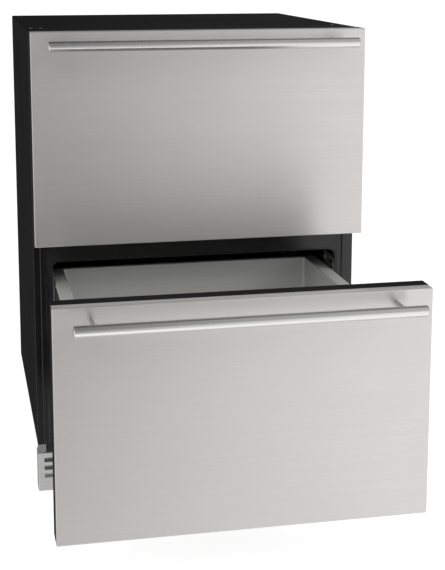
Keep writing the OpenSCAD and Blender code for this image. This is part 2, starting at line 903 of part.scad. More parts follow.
// Lines of the sealed system, each ending just short of the port that it feeds
module refrigerant_lines() {
    seat = tube_r + pipe_gap;
    over = machine_z - over_gap;
    side_y = cond_y + cond_d / 2;
    front_y = cond_y - front_gap_y;
    port = cond_x - cond_w / 2 - pipe_end - seat;
    drop = port - drop_gap;
    low_z = cond_z + cond_h / cond_rows / 2;
    high_z = cond_z + cond_h - cond_h / cond_rows / 2;
    cross_z = low_z + cross_lift;
    home() color(copper) {
        tube_path([[comp_x - port_x, comp_y, port_top + seat], [comp_x - port_x, comp_y, over],
            [comp_x - port_x, side_y, over], [drop, side_y, over], [drop, side_y, high_z],
            [port, side_y, high_z]]);
        tube_path([[port, side_y, low_z], [drop, side_y, low_z], [drop, front_y, cross_z],
            [drier_x, front_y, cross_z], [drier_x, drier_y, cross_z], [drier_x, drier_y, drier_z - seat]]);
        tube_path([[drier_x, drier_y, drier_z + drier_l + seat], [drier_x, drier_y, over],
            [drier_x, drain_y, over], [drier_x, drain_y, machine_z - seat]]);
        tube_path([[comp_x + port_x, comp_y, port_top + seat], [comp_x + port_x, comp_y, over],
            [comp_x + port_x, drain_y, over], [comp_x + port_x, drain_y, machine_z - seat]]);
    }
}

// Tray on the base pan that catches the defrost water
module drain_pan() {
    x0 = cond_x + cond_w / 2 - tray_under;
    x1 = comp_x - foot_plate.x / 2 - tray_foot_gap;
    y0 = cond_y + cond_d + tray_front;
    y1 = cab_d - tray_back;
    t = tray_t;
    home() color(black) difference() {
        translate([0, 0, pan_top]) linear_extrude(tray_h) polygon(rounded(rect(x0, y0, x1, y1), tray_r));
        translate([0, 0, pan_top + t]) linear_extrude(tray_h)
            polygon(rounded(rect(x0 + t, y0 + t, x1 - t, y1 - t), tray_r - t));
    }
}

// Space of the drain tube with a clearance round it
module drain_path(clear) {
    low = pan_top + tray_h / 2;
    translate([drain_x, drain_y, low]) cylinder(r = drain_r + clear, h = drain_z + drain_r - low);
    rod_y(drain_x, drain_z, drain_r - 1 + clear, liner_back, drain_y);
}

// Tube from the foot of the evaporator down to the tray
module drain_tube() {
    home() color(black) difference() {
        drain_path(0);
        translate([drain_x, drain_y, pan_top]) cylinder(r = drain_bore, h = drain_z - pan_top);
        rod_y(drain_x, drain_z, drain_bore, liner_back - 1, drain_y);
    }
}

// Controller on the side wall of the machine space
module control_box() {
    x0 = -half_w + sheet_t;
    lid = control_lid;
    step = control_step;
    y1 = control_y + control.y;
    z1 = control_z + control.z;
    home() color(dark) {
        along_x(x0, x0 + control.x - lid) polygon(rounded(rect(control_y, control_z, y1, z1), control_r[0]));
        along_x(x0 + control.x - lid, x0 + control.x)
            polygon(rounded(rect(control_y + step, control_z + step, y1 - step, z1 - step), control_r[1]));
    }
}

module inlet_outline(inset) {
    polygon(rounded(rect(inlet_x - inlet_w / 2 + inset, inlet_z - inlet_h / 2 + inset,
        inlet_x + inlet_w / 2 - inset, inlet_z + inlet_h / 2 - inset), inlet_r));
}

// Three-pin appliance inlet, flush with the rear cover
module power_inlet() {
    home() color(black) {
        difference() {
            along_y(cab_d - inlet_l, cab_d) inlet_outline(0);
            along_y(cab_d - inlet_l + inlet_wall, cab_d + 1) inlet_outline(inlet_wall);
        }
        for (p = [[-pin_x, -pin_z], [0, pin_z], [pin_x, -pin_z]])
            along_y(cab_d - inlet_l + inlet_wall - 1, cab_d - pin_back)
                translate([inlet_x + p.x, inlet_z + p.y]) square(pin, center = true);
    }
}

// Lens strips under the ceilings of both compartments
module interior_lights() {
    home() color([0.95, 0.95, 0.92]) for (z = [upper_top, lower_top])
        along_x(-light.x / 2, light.x / 2)
            polygon(rounded(rect(light_y, z - light.z, light_y + light.y, z), [light_r, light_r, 0, 0]));
}

// Coil on the liner's back wall, carried by its long end plates
module evaporator_coil() {
    x = coil_x + coil_w / 2;
    y = cover_y + coil_gap;
    z = upper_floor + coil_lift;
    home() color(zinc) {
        translate([x, y, z]) finned_coil(coil_w, coil_d, coil_h, coil_fins, coil_rows, pipe_r);
        for (side = [-1, 1])
            translate([x + side * coil_w / 2 - fin_t / 2, y, z]) cube([fin_t, liner_in - y, coil_h]);
    }
}

// Cover with air slots below and a ring guard in front of the fan
module evaporator_cover() {
    t = cover_t;
    z0 = upper_floor + cover_low;
    z1 = upper_top - cover_high;
    guard_r = evap_fan_r + guard_gap;
    home() color(dark) {
        difference() {
            along_y(cover_y, liner_in)
                polygon(rounded(rect(-cover_half_w, z0, cover_half_w, z1), cover_r));
            along_y(cover_y + t, liner_in + 1)
                polygon(rounded(rect(-cover_half_w + t, z0 + t, cover_half_w - t, z1 - t), cover_r - t));
            rod_y(evap_fan_x, evap_fan_z, guard_r, cover_y - 1, cover_y + t + 1);
            for (i = [0:7])
                along_y(cover_y - 1, cover_y + t + 1)
                    translate([coil_x + cover_slot_pitch * i + t, z0 + cover_slot_z])
                        polygon(rounded(rect(0, 0, cover_slot.x, cover_slot.y), cover_slot_r));
        }
        along_y(cover_y, cover_y + t) translate([evap_fan_x, evap_fan_z]) {
            for (r = [guard_r * 0.34, guard_r * 0.67]) difference() {
                circle(r = r + guard_w / 2);
                circle(r = r - guard_w / 2);
            }
            for (a = [0:60:179]) rotate(a) square([guard_r * 2 + 1, guard_rib], center = true);
        }
    }
}

module evaporator_fan_motor() {
    home() color(black) translate([evap_fan_x, liner_in - evap_motor_l, evap_fan_z])
        fan_motor(evap_motor_r, evap_motor_l);
}

module evaporator_fan() {
    home() color(dark) translate([evap_fan_x, evap_fan_y, evap_fan_z])
        axial_fan(evap_fan_r, evap_hub_r, evap_fan_h, evap_fan_gap + evap_motor_l / 2);
}

// Brackets on the liner's walls, with a slotted ear at each end
module slide_brackets() {
    home() color(zinc) both_sides() for (z = [upper_z, lower_z]) {
        low = slide_z(z) - outer_v;
        mid = slide_z(z) + outer_v;
        top = ear_z(z);
        difference() {
            along_x(plate_in, open_half) polygon(rounded([[bracket_front, low], [bracket_back, low],
                [bracket_back, top], [bracket_back - ear_l, top], [bracket_back - ear_l, mid],
                [bracket_front + ear_l, mid], [bracket_front + ear_l, top], [bracket_front, top]],
                bracket_r));
            for (y = [bracket_front + ear_slot_in, bracket_back - ear_slot_in])
                along_x(plate_in - 1, open_half + 1) translate([y, top - ear_slot_down])
                    polygon(rounded(rect(-ear_slot.x / 2, -ear_slot.y / 2, ear_slot.x / 2, ear_slot.y / 2),
                        ear_slot.y / 2 - 0.01));
            bracket_holes(z);
        }
    }
}

// Screws that hold one drawer's brackets, or with clear the holes for them
module bracket_screw_set(z, clear) {
    both_sides() for (y = [bracket_front + ear_screw_in, bracket_back - ear_screw_in])
        rod_x(plate_in - 0.01, plate_in + bracket_screw_l, y, ear_z(z) - ear_slot_down, bracket_screw_r + clear);
}

module bracket_holes(z) {
    bracket_screw_set(z, screw_clear);
}

module bracket_screws() {
    home() color(bright) for (z = [upper_z, lower_z]) {
        bracket_screw_set(z, 0);
        both_sides() for (y = [bracket_front + ear_screw_in, bracket_back - ear_screw_in])
            rod_x(plate_in - bracket_head[1], plate_in, y, ear_z(z) - ear_slot_down, bracket_head[0]);
    }
}

// Places a slide's section, drawn in u and v, on both sides of the drawer at z
module slide_section(z, y0, y1) {
    both_sides() along_y(y0, y1) translate([plate_in, slide_z(z)]) mirror([1, 0]) children();
}

// Raceways of the ball rows at u, above and below the centre line
module raceways(u, v) {
    for (side = [-1, 1]) translate([u, side * v]) circle(r = race_r);
}

// Outer members, fixed to the brackets
module slide_outers() {
    home() color(bright) for (z = [upper_z, lower_z]) slide_section(z, slide_y, slide_y + slide_l)
        difference() {
            translate([0, -outer_v]) square([web_u, slide_h]);
            translate([member_t, -outer_v + member_t]) square([web_u - 2 * member_t, slide_h - 2 * member_t]);
            translate([member_t, -lip_v]) square([web_u, 2 * lip_v]);
            raceways(ball_a_u, ball_a_v);
        }
}

// Middle members, which travel half as far as the drawer
module slide_mids(z, out) {
    home() color(bright) slide_section(z, slide_y - out / 2, slide_y + slide_l - out / 2)
        difference() {
            translate([mid_u, -mid_v]) square([web_u - mid_gap - mid_u, 2 * mid_v]);
            translate([mid_u + member_t, -mid_v + member_t]) square([web_u, 2 * (mid_v - member_t)]);
            raceways(ball_a_u, ball_a_v);
            raceways(ball_b_u, ball_b_v);
        }
}

// Inner members, fixed to the bin's rails
module slide_inners(z, out) {
    home() color(bright) slide_section(z, slide_y - out, slide_y + slide_l - out)
        difference() {
            translate([inner_u, -inner_v]) square([slide_t - inner_u, 2 * inner_v]);
            translate([inner_u - 1, -inner_v + member_t])
                square([web_u - inner_u + 1, 2 * (inner_v - member_t)]);
            raceways(ball_b_u, ball_b_v);
        }
}

// Ball cages: a folded strip that holds one row of balls above and one below
module ball_cages(z, out, cage_u, ball_u, ball_v) {
    y = slide_y + slide_l / 2 - out;
    pitch = cage_l / cage_balls;
    home() color(zinc) {
        slide_section(z, y - cage_l / 2, y + cage_l / 2) {
            translate([cage_u, -ball_v]) square([cage_t, 2 * ball_v]);
            for (side = [-1, 1])
                translate([cage_u, side * ball_v - cage_t / 2]) square([ball_u + ball_r - cage_u, cage_t]);
        }
        both_sides() for (side = [-1, 1], i = [0:cage_balls - 1])
            translate([plate_in - ball_u, y - cage_l / 2 + (i + 0.5) * pitch, slide_z(z) + side * ball_v])
                sphere(r = ball_r, $fn = 24);
    }
}

// Front's block with bent edges, inset from its outer faces, down to a depth
module front_block(z, inset, depth) {
    r = max(skin_r - inset, 0.3);
    intersection() {
        translate([0, 0, z]) linear_extrude(front_h)
            polygon(rounded(rect(-half_w + inset, -door_t + inset, half_w - inset, -door_t + depth),
                [r, r, 0, 0]));
        along_x(-half_w, half_w) polygon(rounded(rect(-door_t + inset, z + inset, -door_t + depth,
            z + front_h - inset), [r, 0, 0, r]));
    }
}

// Stainless pan: the face, deep returns above and below, and shallow ones at the sides
module front_skin(z, out) {
    home() color(steel) translate([0, -out, 0]) difference() {
        front_block(z, 0, skin_return);
        front_block(z, skin_t, skin_return + 1);
        both_sides() translate([half_w - skin_t, -door_t + skin_side, z + skin_t])
            cube([skin_t + 1, skin_return, front_h - 2 * skin_t]);
        both_sides() rod_y(post_x, z + front_h - bar_drop, stud_d / 2 + screw_clear, -door_t - 1, -door_t + 3);
    }
}

// Foamed black body of a front, grooved for the gasket
module door_core(z, out, floor_z, top_z) {
    plate = stud_plate;
    home() color(black) translate([0, -out, 0]) difference() {
        union() {
            front_block(z, skin_t, door_t - door_gap);
            translate([-half_w, -door_t + skin_return, z])
                cube([cab_w, door_t - door_gap - skin_return, front_h]);
        }
        along_y(-door_gap - gasket_groove, -door_gap + 1) gasket_ring(floor_z, top_z, foot_w);
        both_sides() translate([post_x, -door_t + skin_t - 0.01, z + front_h - bar_drop]) {
            translate([-plate.x / 2, 0, -plate.x / 2]) cube([plate.x, plate.y + 0.01, plate.x]);
            rod_y(0, 0, stud_d / 2 + screw_clear, 0, stud_in + 2);
        }
        rail_screw_set(z, screw_clear);
    }
}

// Ring round an opening, w wide, on the gasket's centre line
module gasket_ring(floor_z, top_z, w) {
    difference() {
        opening_outline(floor_z, top_z, gasket_out + w / 2);
        opening_outline(floor_z, top_z, gasket_out - w / 2);
    }
}

// Magnetic gasket: the foot in its groove, then the bulb that meets the frame
module gasket(out, floor_z, top_z) {
    home() color(dark) translate([0, -out, 0]) {
        along_y(-door_gap - gasket_groove, -door_gap) gasket_ring(floor_z, top_z, foot_w);
        along_y(-door_gap, -lip_y) gasket_ring(floor_z, top_z, gasket_w);
        along_y(-lip_y, -gasket_gap) gasket_ring(floor_z, top_z, foot_w);
    }
}

module handle_bar(z, out) {
    l = bar_l / 2;
    r = bar_d / 2;
    c = bar_bevel;
    home() color(bright) translate([0, -out - door_t - bar_reach, z + front_h - bar_drop]) difference() {
        rotate([0, 90, 0]) rotate_extrude($fn = 72)
            polygon([[0, -l], [r - c, -l], [r, -l + c], [r, l - c], [r - c, l], [0, l]]);
        both_sides() rod_y(post_x, 0, post_d / 2 + seat_gap, r - seat_depth, r + 1);
    }
}

module handle_posts(z, out) {
    home() color(bright) translate([0, -out - door_t, z + front_h - bar_drop]) both_sides()
        difference() {
            rod_y(post_x, 0, post_d / 2, -bar_reach + bar_d / 2 - seat_depth, 0);
            rod_y(post_x, 0, stud_d / 2 + seat_gap, -stud_out - 1, 1);
        }
}

// Screws through the rails' front flanges, or with clear the holes for them
module rail_screw_set(z, clear) {
    both_sides() for (dz = [-rail_screw_dz, rail_screw_dz])
        rod_y(rail_screw_x, slide_z(z) + dz, rail_screw_r + clear, -door_gap - rail_screw_l - clear,
            -door_gap + rail_t + 0.01);
}

// Handle studs with their plates behind the skin, and the screws of the rails
module door_fasteners(z, out) {
    plate = stud_plate;
    home() color(zinc) translate([0, -out, 0]) {
        both_sides() translate([post_x, -door_t + skin_t, z + front_h - bar_drop]) {
            translate([-plate.x / 2, 0, -plate.x / 2]) cube([plate.x, plate.y, plate.x]);
            rod_y(0, 0, stud_d / 2, -skin_t - stud_out, stud_in);
        }
        rail_screw_set(z, 0);
        both_sides() for (dz = [-rail_screw_dz, rail_screw_dz])
            rod_y(rail_screw_x, slide_z(z) + dz, rail_head[0], -door_gap + rail_t,
                -door_gap + rail_t + rail_head[1]);
    }
}

// Side view of a bin, inset by its wall; floor_b above floor_a makes the step
function bin_outline(top, floor_a, floor_b, inset) =
    floor_b > floor_a
        ? [[inset, floor_a + inset], [deep_l - inset, floor_a + inset], [deep_l - inset, floor_b + inset],
            [bin_l - inset, floor_b + inset], [bin_l - inset, top], [inset, top]]
        : [[inset, floor_a + inset], [bin_l - inset, floor_a + inset], [bin_l - inset, top], [inset, top]];

// Sheet-metal bin with flanges that hang on the rails
module bin(z, out, floor_a, floor_b) {
    rim = rim_z(z);
    stepped = floor_b > floor_a;
    r_out = stepped ? [bin_r, bin_r, bin_step_r, bin_r, 0, 0] : [bin_r, bin_r, 0, 0];
    inner = bin_r - bin_t;
    r_in = stepped ? [inner, inner, bin_step_r + bin_t, inner, 0, 0] : [inner, inner, 0, 0];
    edge = bin_out + bin_flange;
    rim_l = bin_lip + bin_l + bin_lap;
    home() color(bin_grey) translate([0, -out, 0]) difference() {
        union() {
            along_x(-bin_out, bin_out) polygon(rounded(bin_outline(rim, floor_a, floor_b, 0), r_out));
            translate([-edge, -bin_lip, rim - bin_t]) cube([2 * edge, rim_l, bin_t]);
            both_sides() translate([edge - bin_t, -bin_lip, rim - bin_t - bin_hem])
                cube([bin_t, rim_l, bin_hem + bin_t]);
        }
        along_x(-bin_half_w, bin_half_w)
            polygon(rounded(bin_outline(rim + 1, floor_a, floor_b, bin_t), r_in));
    }
}

// Rails from the front to the slides' inner members, with a lip under the bin's flange
module bin_rails(z, out) {
    top = rim_z(z) - bin_t;
    t = rail_t;
    low = slide_z(z) - rail_low;
    tab_z = slide_z(z) - rail_tab_low;
    home() color(zinc) translate([0, -out, 0]) difference() {
        both_sides() {
            along_y(-door_gap, rail_end) polygon([[rail_out - t, low], [rail_out, low],
                [rail_out, top], [bin_out + 1, top], [bin_out + 1, top - t], [rail_out - t, top - t]]);
            translate([rail_screw_x - rail_tab_w, -door_gap, tab_z])
                cube([rail_out - rail_screw_x + rail_tab_w, t, top - tab_z]);
        }
        rail_screw_set(z, screw_clear);
    }
}

module upper_front_skin() { front_skin(upper_z, upper_open); }
module lower_front_skin() { front_skin(lower_z, lower_open); }
module upper_door_core() { door_core(upper_z, upper_open, upper_floor, upper_top); }
module lower_door_core() { door_core(lower_z, lower_open, lower_floor, lower_top); }
module upper_gasket() { gasket(upper_open, upper_floor, upper_top); }
module lower_gasket() { gasket(lower_open, lower_floor, lower_top); }
module upper_handle_bar() { handle_bar(upper_z, upper_open); }
module lower_handle_bar() { handle_bar(lower_z, lower_open); }
module upper_handle_posts() { handle_posts(upper_z, upper_open); }
module lower_handle_posts() { handle_posts(lower_z, lower_open); }
module upper_door_fasteners() { door_fasteners(upper_z, upper_open); }
module lower_door_fasteners() { door_fasteners(lower_z, lower_open); }
module upper_bin() { bin(upper_z, upper_open, upper_floor + bin_clear, 0); }
module lower_bin() {
    bin(lower_z, lower_open, lower_floor + bin_clear, step_floor + liner_t + bin_clear);
}
module upper_bin_rails() { bin_rails(upper_z, upper_open); }
module lower_bin_rails() { bin_rails(lower_z, lower_open); }
module upper_slide_inners() { slide_inners(upper_z, upper_open); }
module lower_slide_inners() { slide_inners(lower_z, lower_open); }
module upper_slide_mids() { slide_mids(upper_z, upper_open); }
module lower_slide_mids() { slide_mids(lower_z, lower_open); }
module upper_outer_cages() { ball_cages(upper_z, upper_open / 4, cage_a_u, ball_a_u, ball_a_v); }
module lower_outer_cages() { ball_cages(lower_z, lower_open / 4, cage_a_u, ball_a_u, ball_a_v); }
module upper_inner_cages() { ball_cages(upper_z, upper_open * 3 / 4, cage_b_u, ball_b_u, ball_b_v); }
module lower_inner_cages() { ball_cages(lower_z, lower_open * 3 / 4, cage_b_u, ball_b_u, ball_b_v); }

cabinet_wrap();
rear_panel();
rear_cover();
front_frame();
upper_liner();
lower_liner();
insulation_foam();
step_panel();
base_pan();
kick_plate();
kick_brackets();
cabinet_screws();
leg_front_left();
leg_front_right();
leg_rear_left();
leg_rear_right();
compressor();
compressor_grommets();
condenser_coil();
fan_shroud();
condenser_fan_motor();
condenser_fan();
filter_drier();
refrigerant_lines();
drain_pan();
drain_tube();
control_box();
power_inlet();
interior_lights();
evaporator_coil();
evaporator_cover();
evaporator_fan_motor();
evaporator_fan();
slide_brackets();
slide_outers();
bracket_screws();
upper_front_skin();
upper_door_core();
upper_gasket();
upper_handle_bar();
upper_handle_posts();
upper_door_fasteners();
upper_bin();
upper_bin_rails();
upper_slide_inners();
upper_slide_mids();
upper_outer_cages();
upper_inner_cages();
lower_front_skin();
lower_door_core();
lower_gasket();
lower_handle_bar();
lower_handle_posts();
lower_door_fasteners();
lower_bin();
lower_bin_rails();
lower_slide_inners();
lower_slide_mids();
lower_outer_cages();
lower_inner_cages();
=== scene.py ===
import json
import math

import bmesh
import bpy
from bmesh.types import BMEdge, BMVert
from mathutils import Matrix, Vector


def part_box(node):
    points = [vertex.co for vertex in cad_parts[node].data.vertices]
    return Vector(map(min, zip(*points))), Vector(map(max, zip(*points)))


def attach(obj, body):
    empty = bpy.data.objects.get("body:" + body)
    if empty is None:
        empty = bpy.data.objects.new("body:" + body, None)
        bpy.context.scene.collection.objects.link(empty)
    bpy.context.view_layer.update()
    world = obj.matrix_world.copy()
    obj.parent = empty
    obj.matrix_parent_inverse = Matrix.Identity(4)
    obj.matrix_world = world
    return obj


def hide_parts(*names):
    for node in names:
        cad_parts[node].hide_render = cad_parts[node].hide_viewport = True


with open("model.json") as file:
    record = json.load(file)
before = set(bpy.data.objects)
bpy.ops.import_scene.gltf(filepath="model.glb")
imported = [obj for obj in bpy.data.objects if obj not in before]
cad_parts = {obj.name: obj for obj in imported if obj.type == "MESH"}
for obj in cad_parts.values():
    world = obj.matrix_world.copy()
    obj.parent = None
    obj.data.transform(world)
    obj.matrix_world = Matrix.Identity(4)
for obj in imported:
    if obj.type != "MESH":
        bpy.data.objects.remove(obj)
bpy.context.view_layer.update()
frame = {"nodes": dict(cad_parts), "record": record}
solids = frame["nodes"]
slotOf = {part["node"]: part["material_slot"] for part in frame["record"]["subparts"]}
bodyOf = {node: body for body, nodes in frame["record"]["behaviour"]["bodies"].items() for node in nodes}
levels = ("upper", "lower")
print("loaded", len(solids), "solids")


# node trees

def addNode(tree, kind, inputs=None, **settings):
    node = tree.nodes.new(kind)
    for key, value in settings.items():
        setattr(node, key, value)
    for key, value in (inputs or {}).items():
        if isinstance(value, bpy.types.NodeSocket):
            tree.links.new(value, node.inputs[key])
        else:
            node.inputs[key].default_value = value
    return node


def calculate(tree, operation, *values):
    return addNode(tree, "ShaderNodeMath", dict(enumerate(values)), operation=operation).outputs[0]


def remap(tree, value, low=0.0, high=1.0, start=0.0, end=1.0, smooth=False):
    # start to end becomes low to high
    ranges = {"Value": value, "From Min": start, "From Max": end, "To Min": low, "To Max": high}
    kind = "SMOOTHSTEP" if smooth else "LINEAR"
    return addNode(tree, "ShaderNodeMapRange", ranges, interpolation_type=kind).outputs["Result"]


def mixValues(tree, factor, one, other):
    return addNode(tree, "ShaderNodeMix", {0: factor, 2: one, 3: other}).outputs[0]


def mixColours(tree, factor, dark, light):
    colours = {0: factor, 6: (*dark, 1), 7: (*light, 1)}
    return addNode(tree, "ShaderNodeMix", colours, data_type="RGBA").outputs[2]


def mixShaders(tree, factor, one, other):
    return addNode(tree, "ShaderNodeMixShader", {0: factor, 1: one, 2: other}).outputs[0]


def newGroup(name, inputs, outputs):
    group = bpy.data.node_groups.new(name, "ShaderNodeTree")
    for label, kind, value in inputs:
        socket = group.interface.new_socket(name=label, in_out="INPUT", socket_type=kind)
        if value is not None:
            socket.default_value = value
    for label, kind in outputs:
        group.interface.new_socket(name=label, in_out="OUTPUT", socket_type=kind)
    return group, group.nodes.new("NodeGroupInput").outputs, group.nodes.new("NodeGroupOutput").inputs


floatSocket, vectorSocket = "NodeSocketFloat", "NodeSocketVector"


def buildBrushing():
    # long fine scratches: the vector that comes in is already stretched along them
    group, given, made = newGroup("brushing", [("Vector", vectorSocket, None), ("Patch", floatSocket, 0.4)],
                                  [("Streaks", floatSocket), ("Height", floatSocket)])
    fine = addNode(group, "ShaderNodeTexNoise", {"Vector": given["Vector"], "Scale": 1.0, "Detail": 4.0,
                                                 "Roughness": 0.6}).outputs["Fac"]
    slow = addNode(group, "ShaderNodeTexNoise", {"Vector": given["Vector"], "Scale": 0.09,
                                                 "Detail": 3.0}).outputs["Fac"]
    patch = mixValues(group, given["Patch"], fine, slow)
    group.links.new(remap(group, patch, start=0.3, end=0.7), made["Streaks"])
    group.links.new(fine, made["Height"])
    return group


def buildSmudging():
    # broad cloudy patches of handling and cleaning
    group, given, made = newGroup("smudging", [("Vector", vectorSocket, None), ("Scale", floatSocket, 6.0)],
                                  [("Mask", floatSocket)])
    broad = addNode(group, "ShaderNodeTexNoise", {"Vector": given["Vector"], "Scale": given["Scale"],
                                                  "Detail": 5.0, "Roughness": 0.55, "Distortion": 0.6})
    group.links.new(remap(group, broad.outputs["Fac"], start=0.35, end=0.7), made["Mask"])
    return group


def buildPeel():
    # the skin of sprayed or moulded surfaces
    group, given, made = newGroup("peel", [("Vector", vectorSocket, None), ("Scale", floatSocket, 900.0)],
                                  [("Height", floatSocket), ("Speckle", floatSocket)])
    grid = {"Vector": given["Vector"], "Scale": given["Scale"]}
    skin = addNode(group, "ShaderNodeTexNoise", {**grid, "Detail": 2.0})
    cells = addNode(group, "ShaderNodeTexVoronoi", grid)
    pitted = calculate(group, "MULTIPLY", skin.outputs["Fac"], cells.outputs["Distance"])
    group.links.new(pitted, made["Height"])
    group.links.new(skin.outputs["Fac"], made["Speckle"])
    return group


brushing, smudging, peel = buildBrushing(), buildSmudging(), buildPeel()
print("effects ready")


# finishes, one for each material slot of the part

finishes = {}
# how far each kind of bump stands out, in metres
relief = {"brushed": 0.0004, "coated": 0.0004, "zinc": 0.0003, "foam": 0.001, "lens": 0.0006}
scratchStretch = 0.004  # how much slower a scratch changes along itself than across
quarterTurn = 0.25  # sets the stretched gloss upright


def startFinish(slot, **constants):
    material = bpy.data.materials.new(slot)
    material.use_nodes = True
    tree = material.node_tree
    shader = tree.nodes["Principled BSDF"]
    for label, value in constants.items():
        shader.inputs[label.replace("_", " ")].default_value = value
    finishes[slot] = material
    return tree, shader, addNode(tree, "ShaderNodeTexCoord").outputs["Object"]


def colourAndRoughen(tree, shader, colour, roughness):
    tree.links.new(colour, shader.inputs["Base Color"])
    tree.links.new(roughness, shader.inputs["Roughness"])


def addClouds(tree, place):
    return addNode(tree, "ShaderNodeGroup", {"Vector": place}, node_tree=smudging).outputs["Mask"]


def bumpUp(tree, shader, height, strength, distance):
    bump = addNode(tree, "ShaderNodeBump", {"Height": height, "Strength": strength, "Distance": distance})
    tree.links.new(bump.outputs["Normal"], shader.inputs["Normal"])


def makeBrushed(slot, dark, light, rough, grain, along, depth, smudge, metallic=1.0, stretchGloss=0.0):
    # grain is how many scratches there are across a metre, along is the axis that they run on
    tree, shader, place = startFinish(slot, Metallic=metallic, Anisotropic=stretchGloss,
                                      Anisotropic_Rotation=quarterTurn)
    if stretchGloss:
        around = addNode(tree, "ShaderNodeTangent", direction_type="RADIAL", axis="Z")
        tree.links.new(around.outputs["Tangent"], shader.inputs["Tangent"])
    stretch = [grain, grain, grain]
    stretch["xyz".index(along)] = grain * scratchStretch
    mapped = addNode(tree, "ShaderNodeMapping", {"Vector": place, "Scale": stretch}).outputs["Vector"]
    scratches = addNode(tree, "ShaderNodeGroup", {"Vector": mapped}, node_tree=brushing)
    streaks = scratches.outputs["Streaks"]
    smudged = remap(tree, addClouds(tree, place), 0, smudge)
    roughness = calculate(tree, "ADD", remap(tree, streaks, rough[1], rough[0]), smudged)
    colourAndRoughen(tree, shader, mixColours(tree, streaks, dark, light), roughness)
    bumpUp(tree, shader, scratches.outputs["Height"], depth, relief["brushed"])


def makeCoated(slot, dark, light, rough, scale, depth, metallic=0.0, specular=0.5, coat=0.0):
    # sprayed or moulded skins: fine peel, faint clouds in tone and gloss
    tree, shader, place = startFinish(slot, Metallic=metallic, Specular_IOR_Level=specular, Coat_Weight=coat,
                                      Coat_Roughness=0.12)
    skin = addNode(tree, "ShaderNodeGroup", {"Vector": place, "Scale": scale}, node_tree=peel)
    clouds = addClouds(tree, place)
    tone = mixValues(tree, 0.5, skin.outputs["Speckle"], clouds)
    colourAndRoughen(tree, shader, mixColours(tree, tone, dark, light), remap(tree, clouds, *rough))
    bumpUp(tree, shader, skin.outputs["Height"], depth, relief["coated"])


def makeSpangled(slot, dark, light, rough, crystals, grains, grainShare, depth):
    # hot-dip zinc: its crystals across a metre, and the finer grains in them
    tree, shader, place = startFinish(slot, Metallic=0.9)
    flakes = addNode(tree, "ShaderNodeTexVoronoi", {"Vector": place, "Scale": crystals})
    fine = addNode(tree, "ShaderNodeTexNoise", {"Vector": place, "Scale": grains, "Detail": 3.0}).outputs["Fac"]
    grey = addNode(tree, "ShaderNodeSeparateColor", {"Color": flakes.outputs["Color"]})
    tone = mixValues(tree, grainShare, grey.outputs[0], fine)
    colourAndRoughen(tree, shader, mixColours(tree, tone, dark, light), remap(tree, grey.outputs[1], *rough))
    bumpUp(tree, shader, fine, depth, relief["zinc"])


def makeFoam(slot, dark, light, cells, depth):
    tree, shader, place = startFinish(slot, Roughness=0.9)
    pores = addNode(tree, "ShaderNodeTexVoronoi", {"Vector": place, "Scale": cells})
    tree.links.new(mixColours(tree, addClouds(tree, place), dark, light), shader.inputs["Base Color"])
    bumpUp(tree, shader, pores.outputs["Distance"], depth, relief["foam"])


def makeLens(slot, dark, light, rough, ribs, depth):
    tree, shader, place = startFinish(slot, Transmission_Weight=0.35, IOR=1.49)
    wave = addNode(tree, "ShaderNodeTexWave", {"Vector": place, "Scale": ribs,
                                               "Distortion": 0.2}).outputs["Fac"]
    colourAndRoughen(tree, shader, mixColours(tree, wave, dark, light), remap(tree, wave, *rough))
    bumpUp(tree, shader, wave, depth, relief["lens"])


brushedMetals = {
    "front_steel": {"dark": (0.62, 0.61, 0.595), "light": (0.67, 0.66, 0.65), "rough": (0.26, 0.31),
                    "grain": 2600, "along": "x", "depth": 0.05, "smudge": 0.04, "metallic": 0.75,
                    "stretchGloss": 0.75},
    "kick_steel": {"dark": (0.6, 0.595, 0.59), "light": (0.67, 0.665, 0.66), "rough": (0.34, 0.42),
                   "grain": 2400, "along": "x", "depth": 0.1, "smudge": 0.05, "metallic": 0.8},
    "handle_steel": {"dark": (0.73, 0.725, 0.72), "light": (0.8, 0.795, 0.79), "rough": (0.23, 0.28),
                     "grain": 3600, "along": "x", "depth": 0.015, "smudge": 0.03},
    "bin_steel": {"dark": (0.66, 0.66, 0.64), "light": (0.75, 0.75, 0.73), "rough": (0.36, 0.46), "grain": 2200,
                  "along": "x", "depth": 0.1, "smudge": 0.08, "metallic": 0.5},
    # painted shade: zinc_steel is darker than plated steel's own tone, so the kick brackets look as if in shadow
    # behind the kick plate
    "zinc_steel": {"dark": (0.24, 0.245, 0.25), "light": (0.33, 0.335, 0.34), "rough": (0.3, 0.44),
                   "grain": 1800, "along": "y", "depth": 0.12, "smudge": 0.1},
    "slide_steel": {"dark": (0.5, 0.51, 0.52), "light": (0.6, 0.61, 0.62), "rough": (0.22, 0.32), "grain": 2400,
                    "along": "y", "depth": 0.08, "smudge": 0.06},
    "screw_steel": {"dark": (0.7, 0.7, 0.69), "light": (0.8, 0.8, 0.79), "rough": (0.22, 0.32), "grain": 5200,
                    "along": "x", "depth": 0.05, "smudge": 0.05, "metallic": 0.35},
    "coil_metal": {"dark": (0.2, 0.2, 0.21), "light": (0.32, 0.32, 0.33), "rough": (0.34, 0.5), "grain": 1600,
                   "along": "z", "depth": 0.14, "smudge": 0.1, "metallic": 0.8},
    "evaporator_metal": {"dark": (0.6, 0.61, 0.62), "light": (0.72, 0.73, 0.74), "rough": (0.28, 0.4),
                         "grain": 1600, "along": "z", "depth": 0.12, "smudge": 0.1},
    "copper": {"dark": (0.62, 0.3, 0.17), "light": (0.78, 0.42, 0.27), "rough": (0.24, 0.42), "grain": 900,
               "along": "z", "depth": 0.06, "smudge": 0.16}}
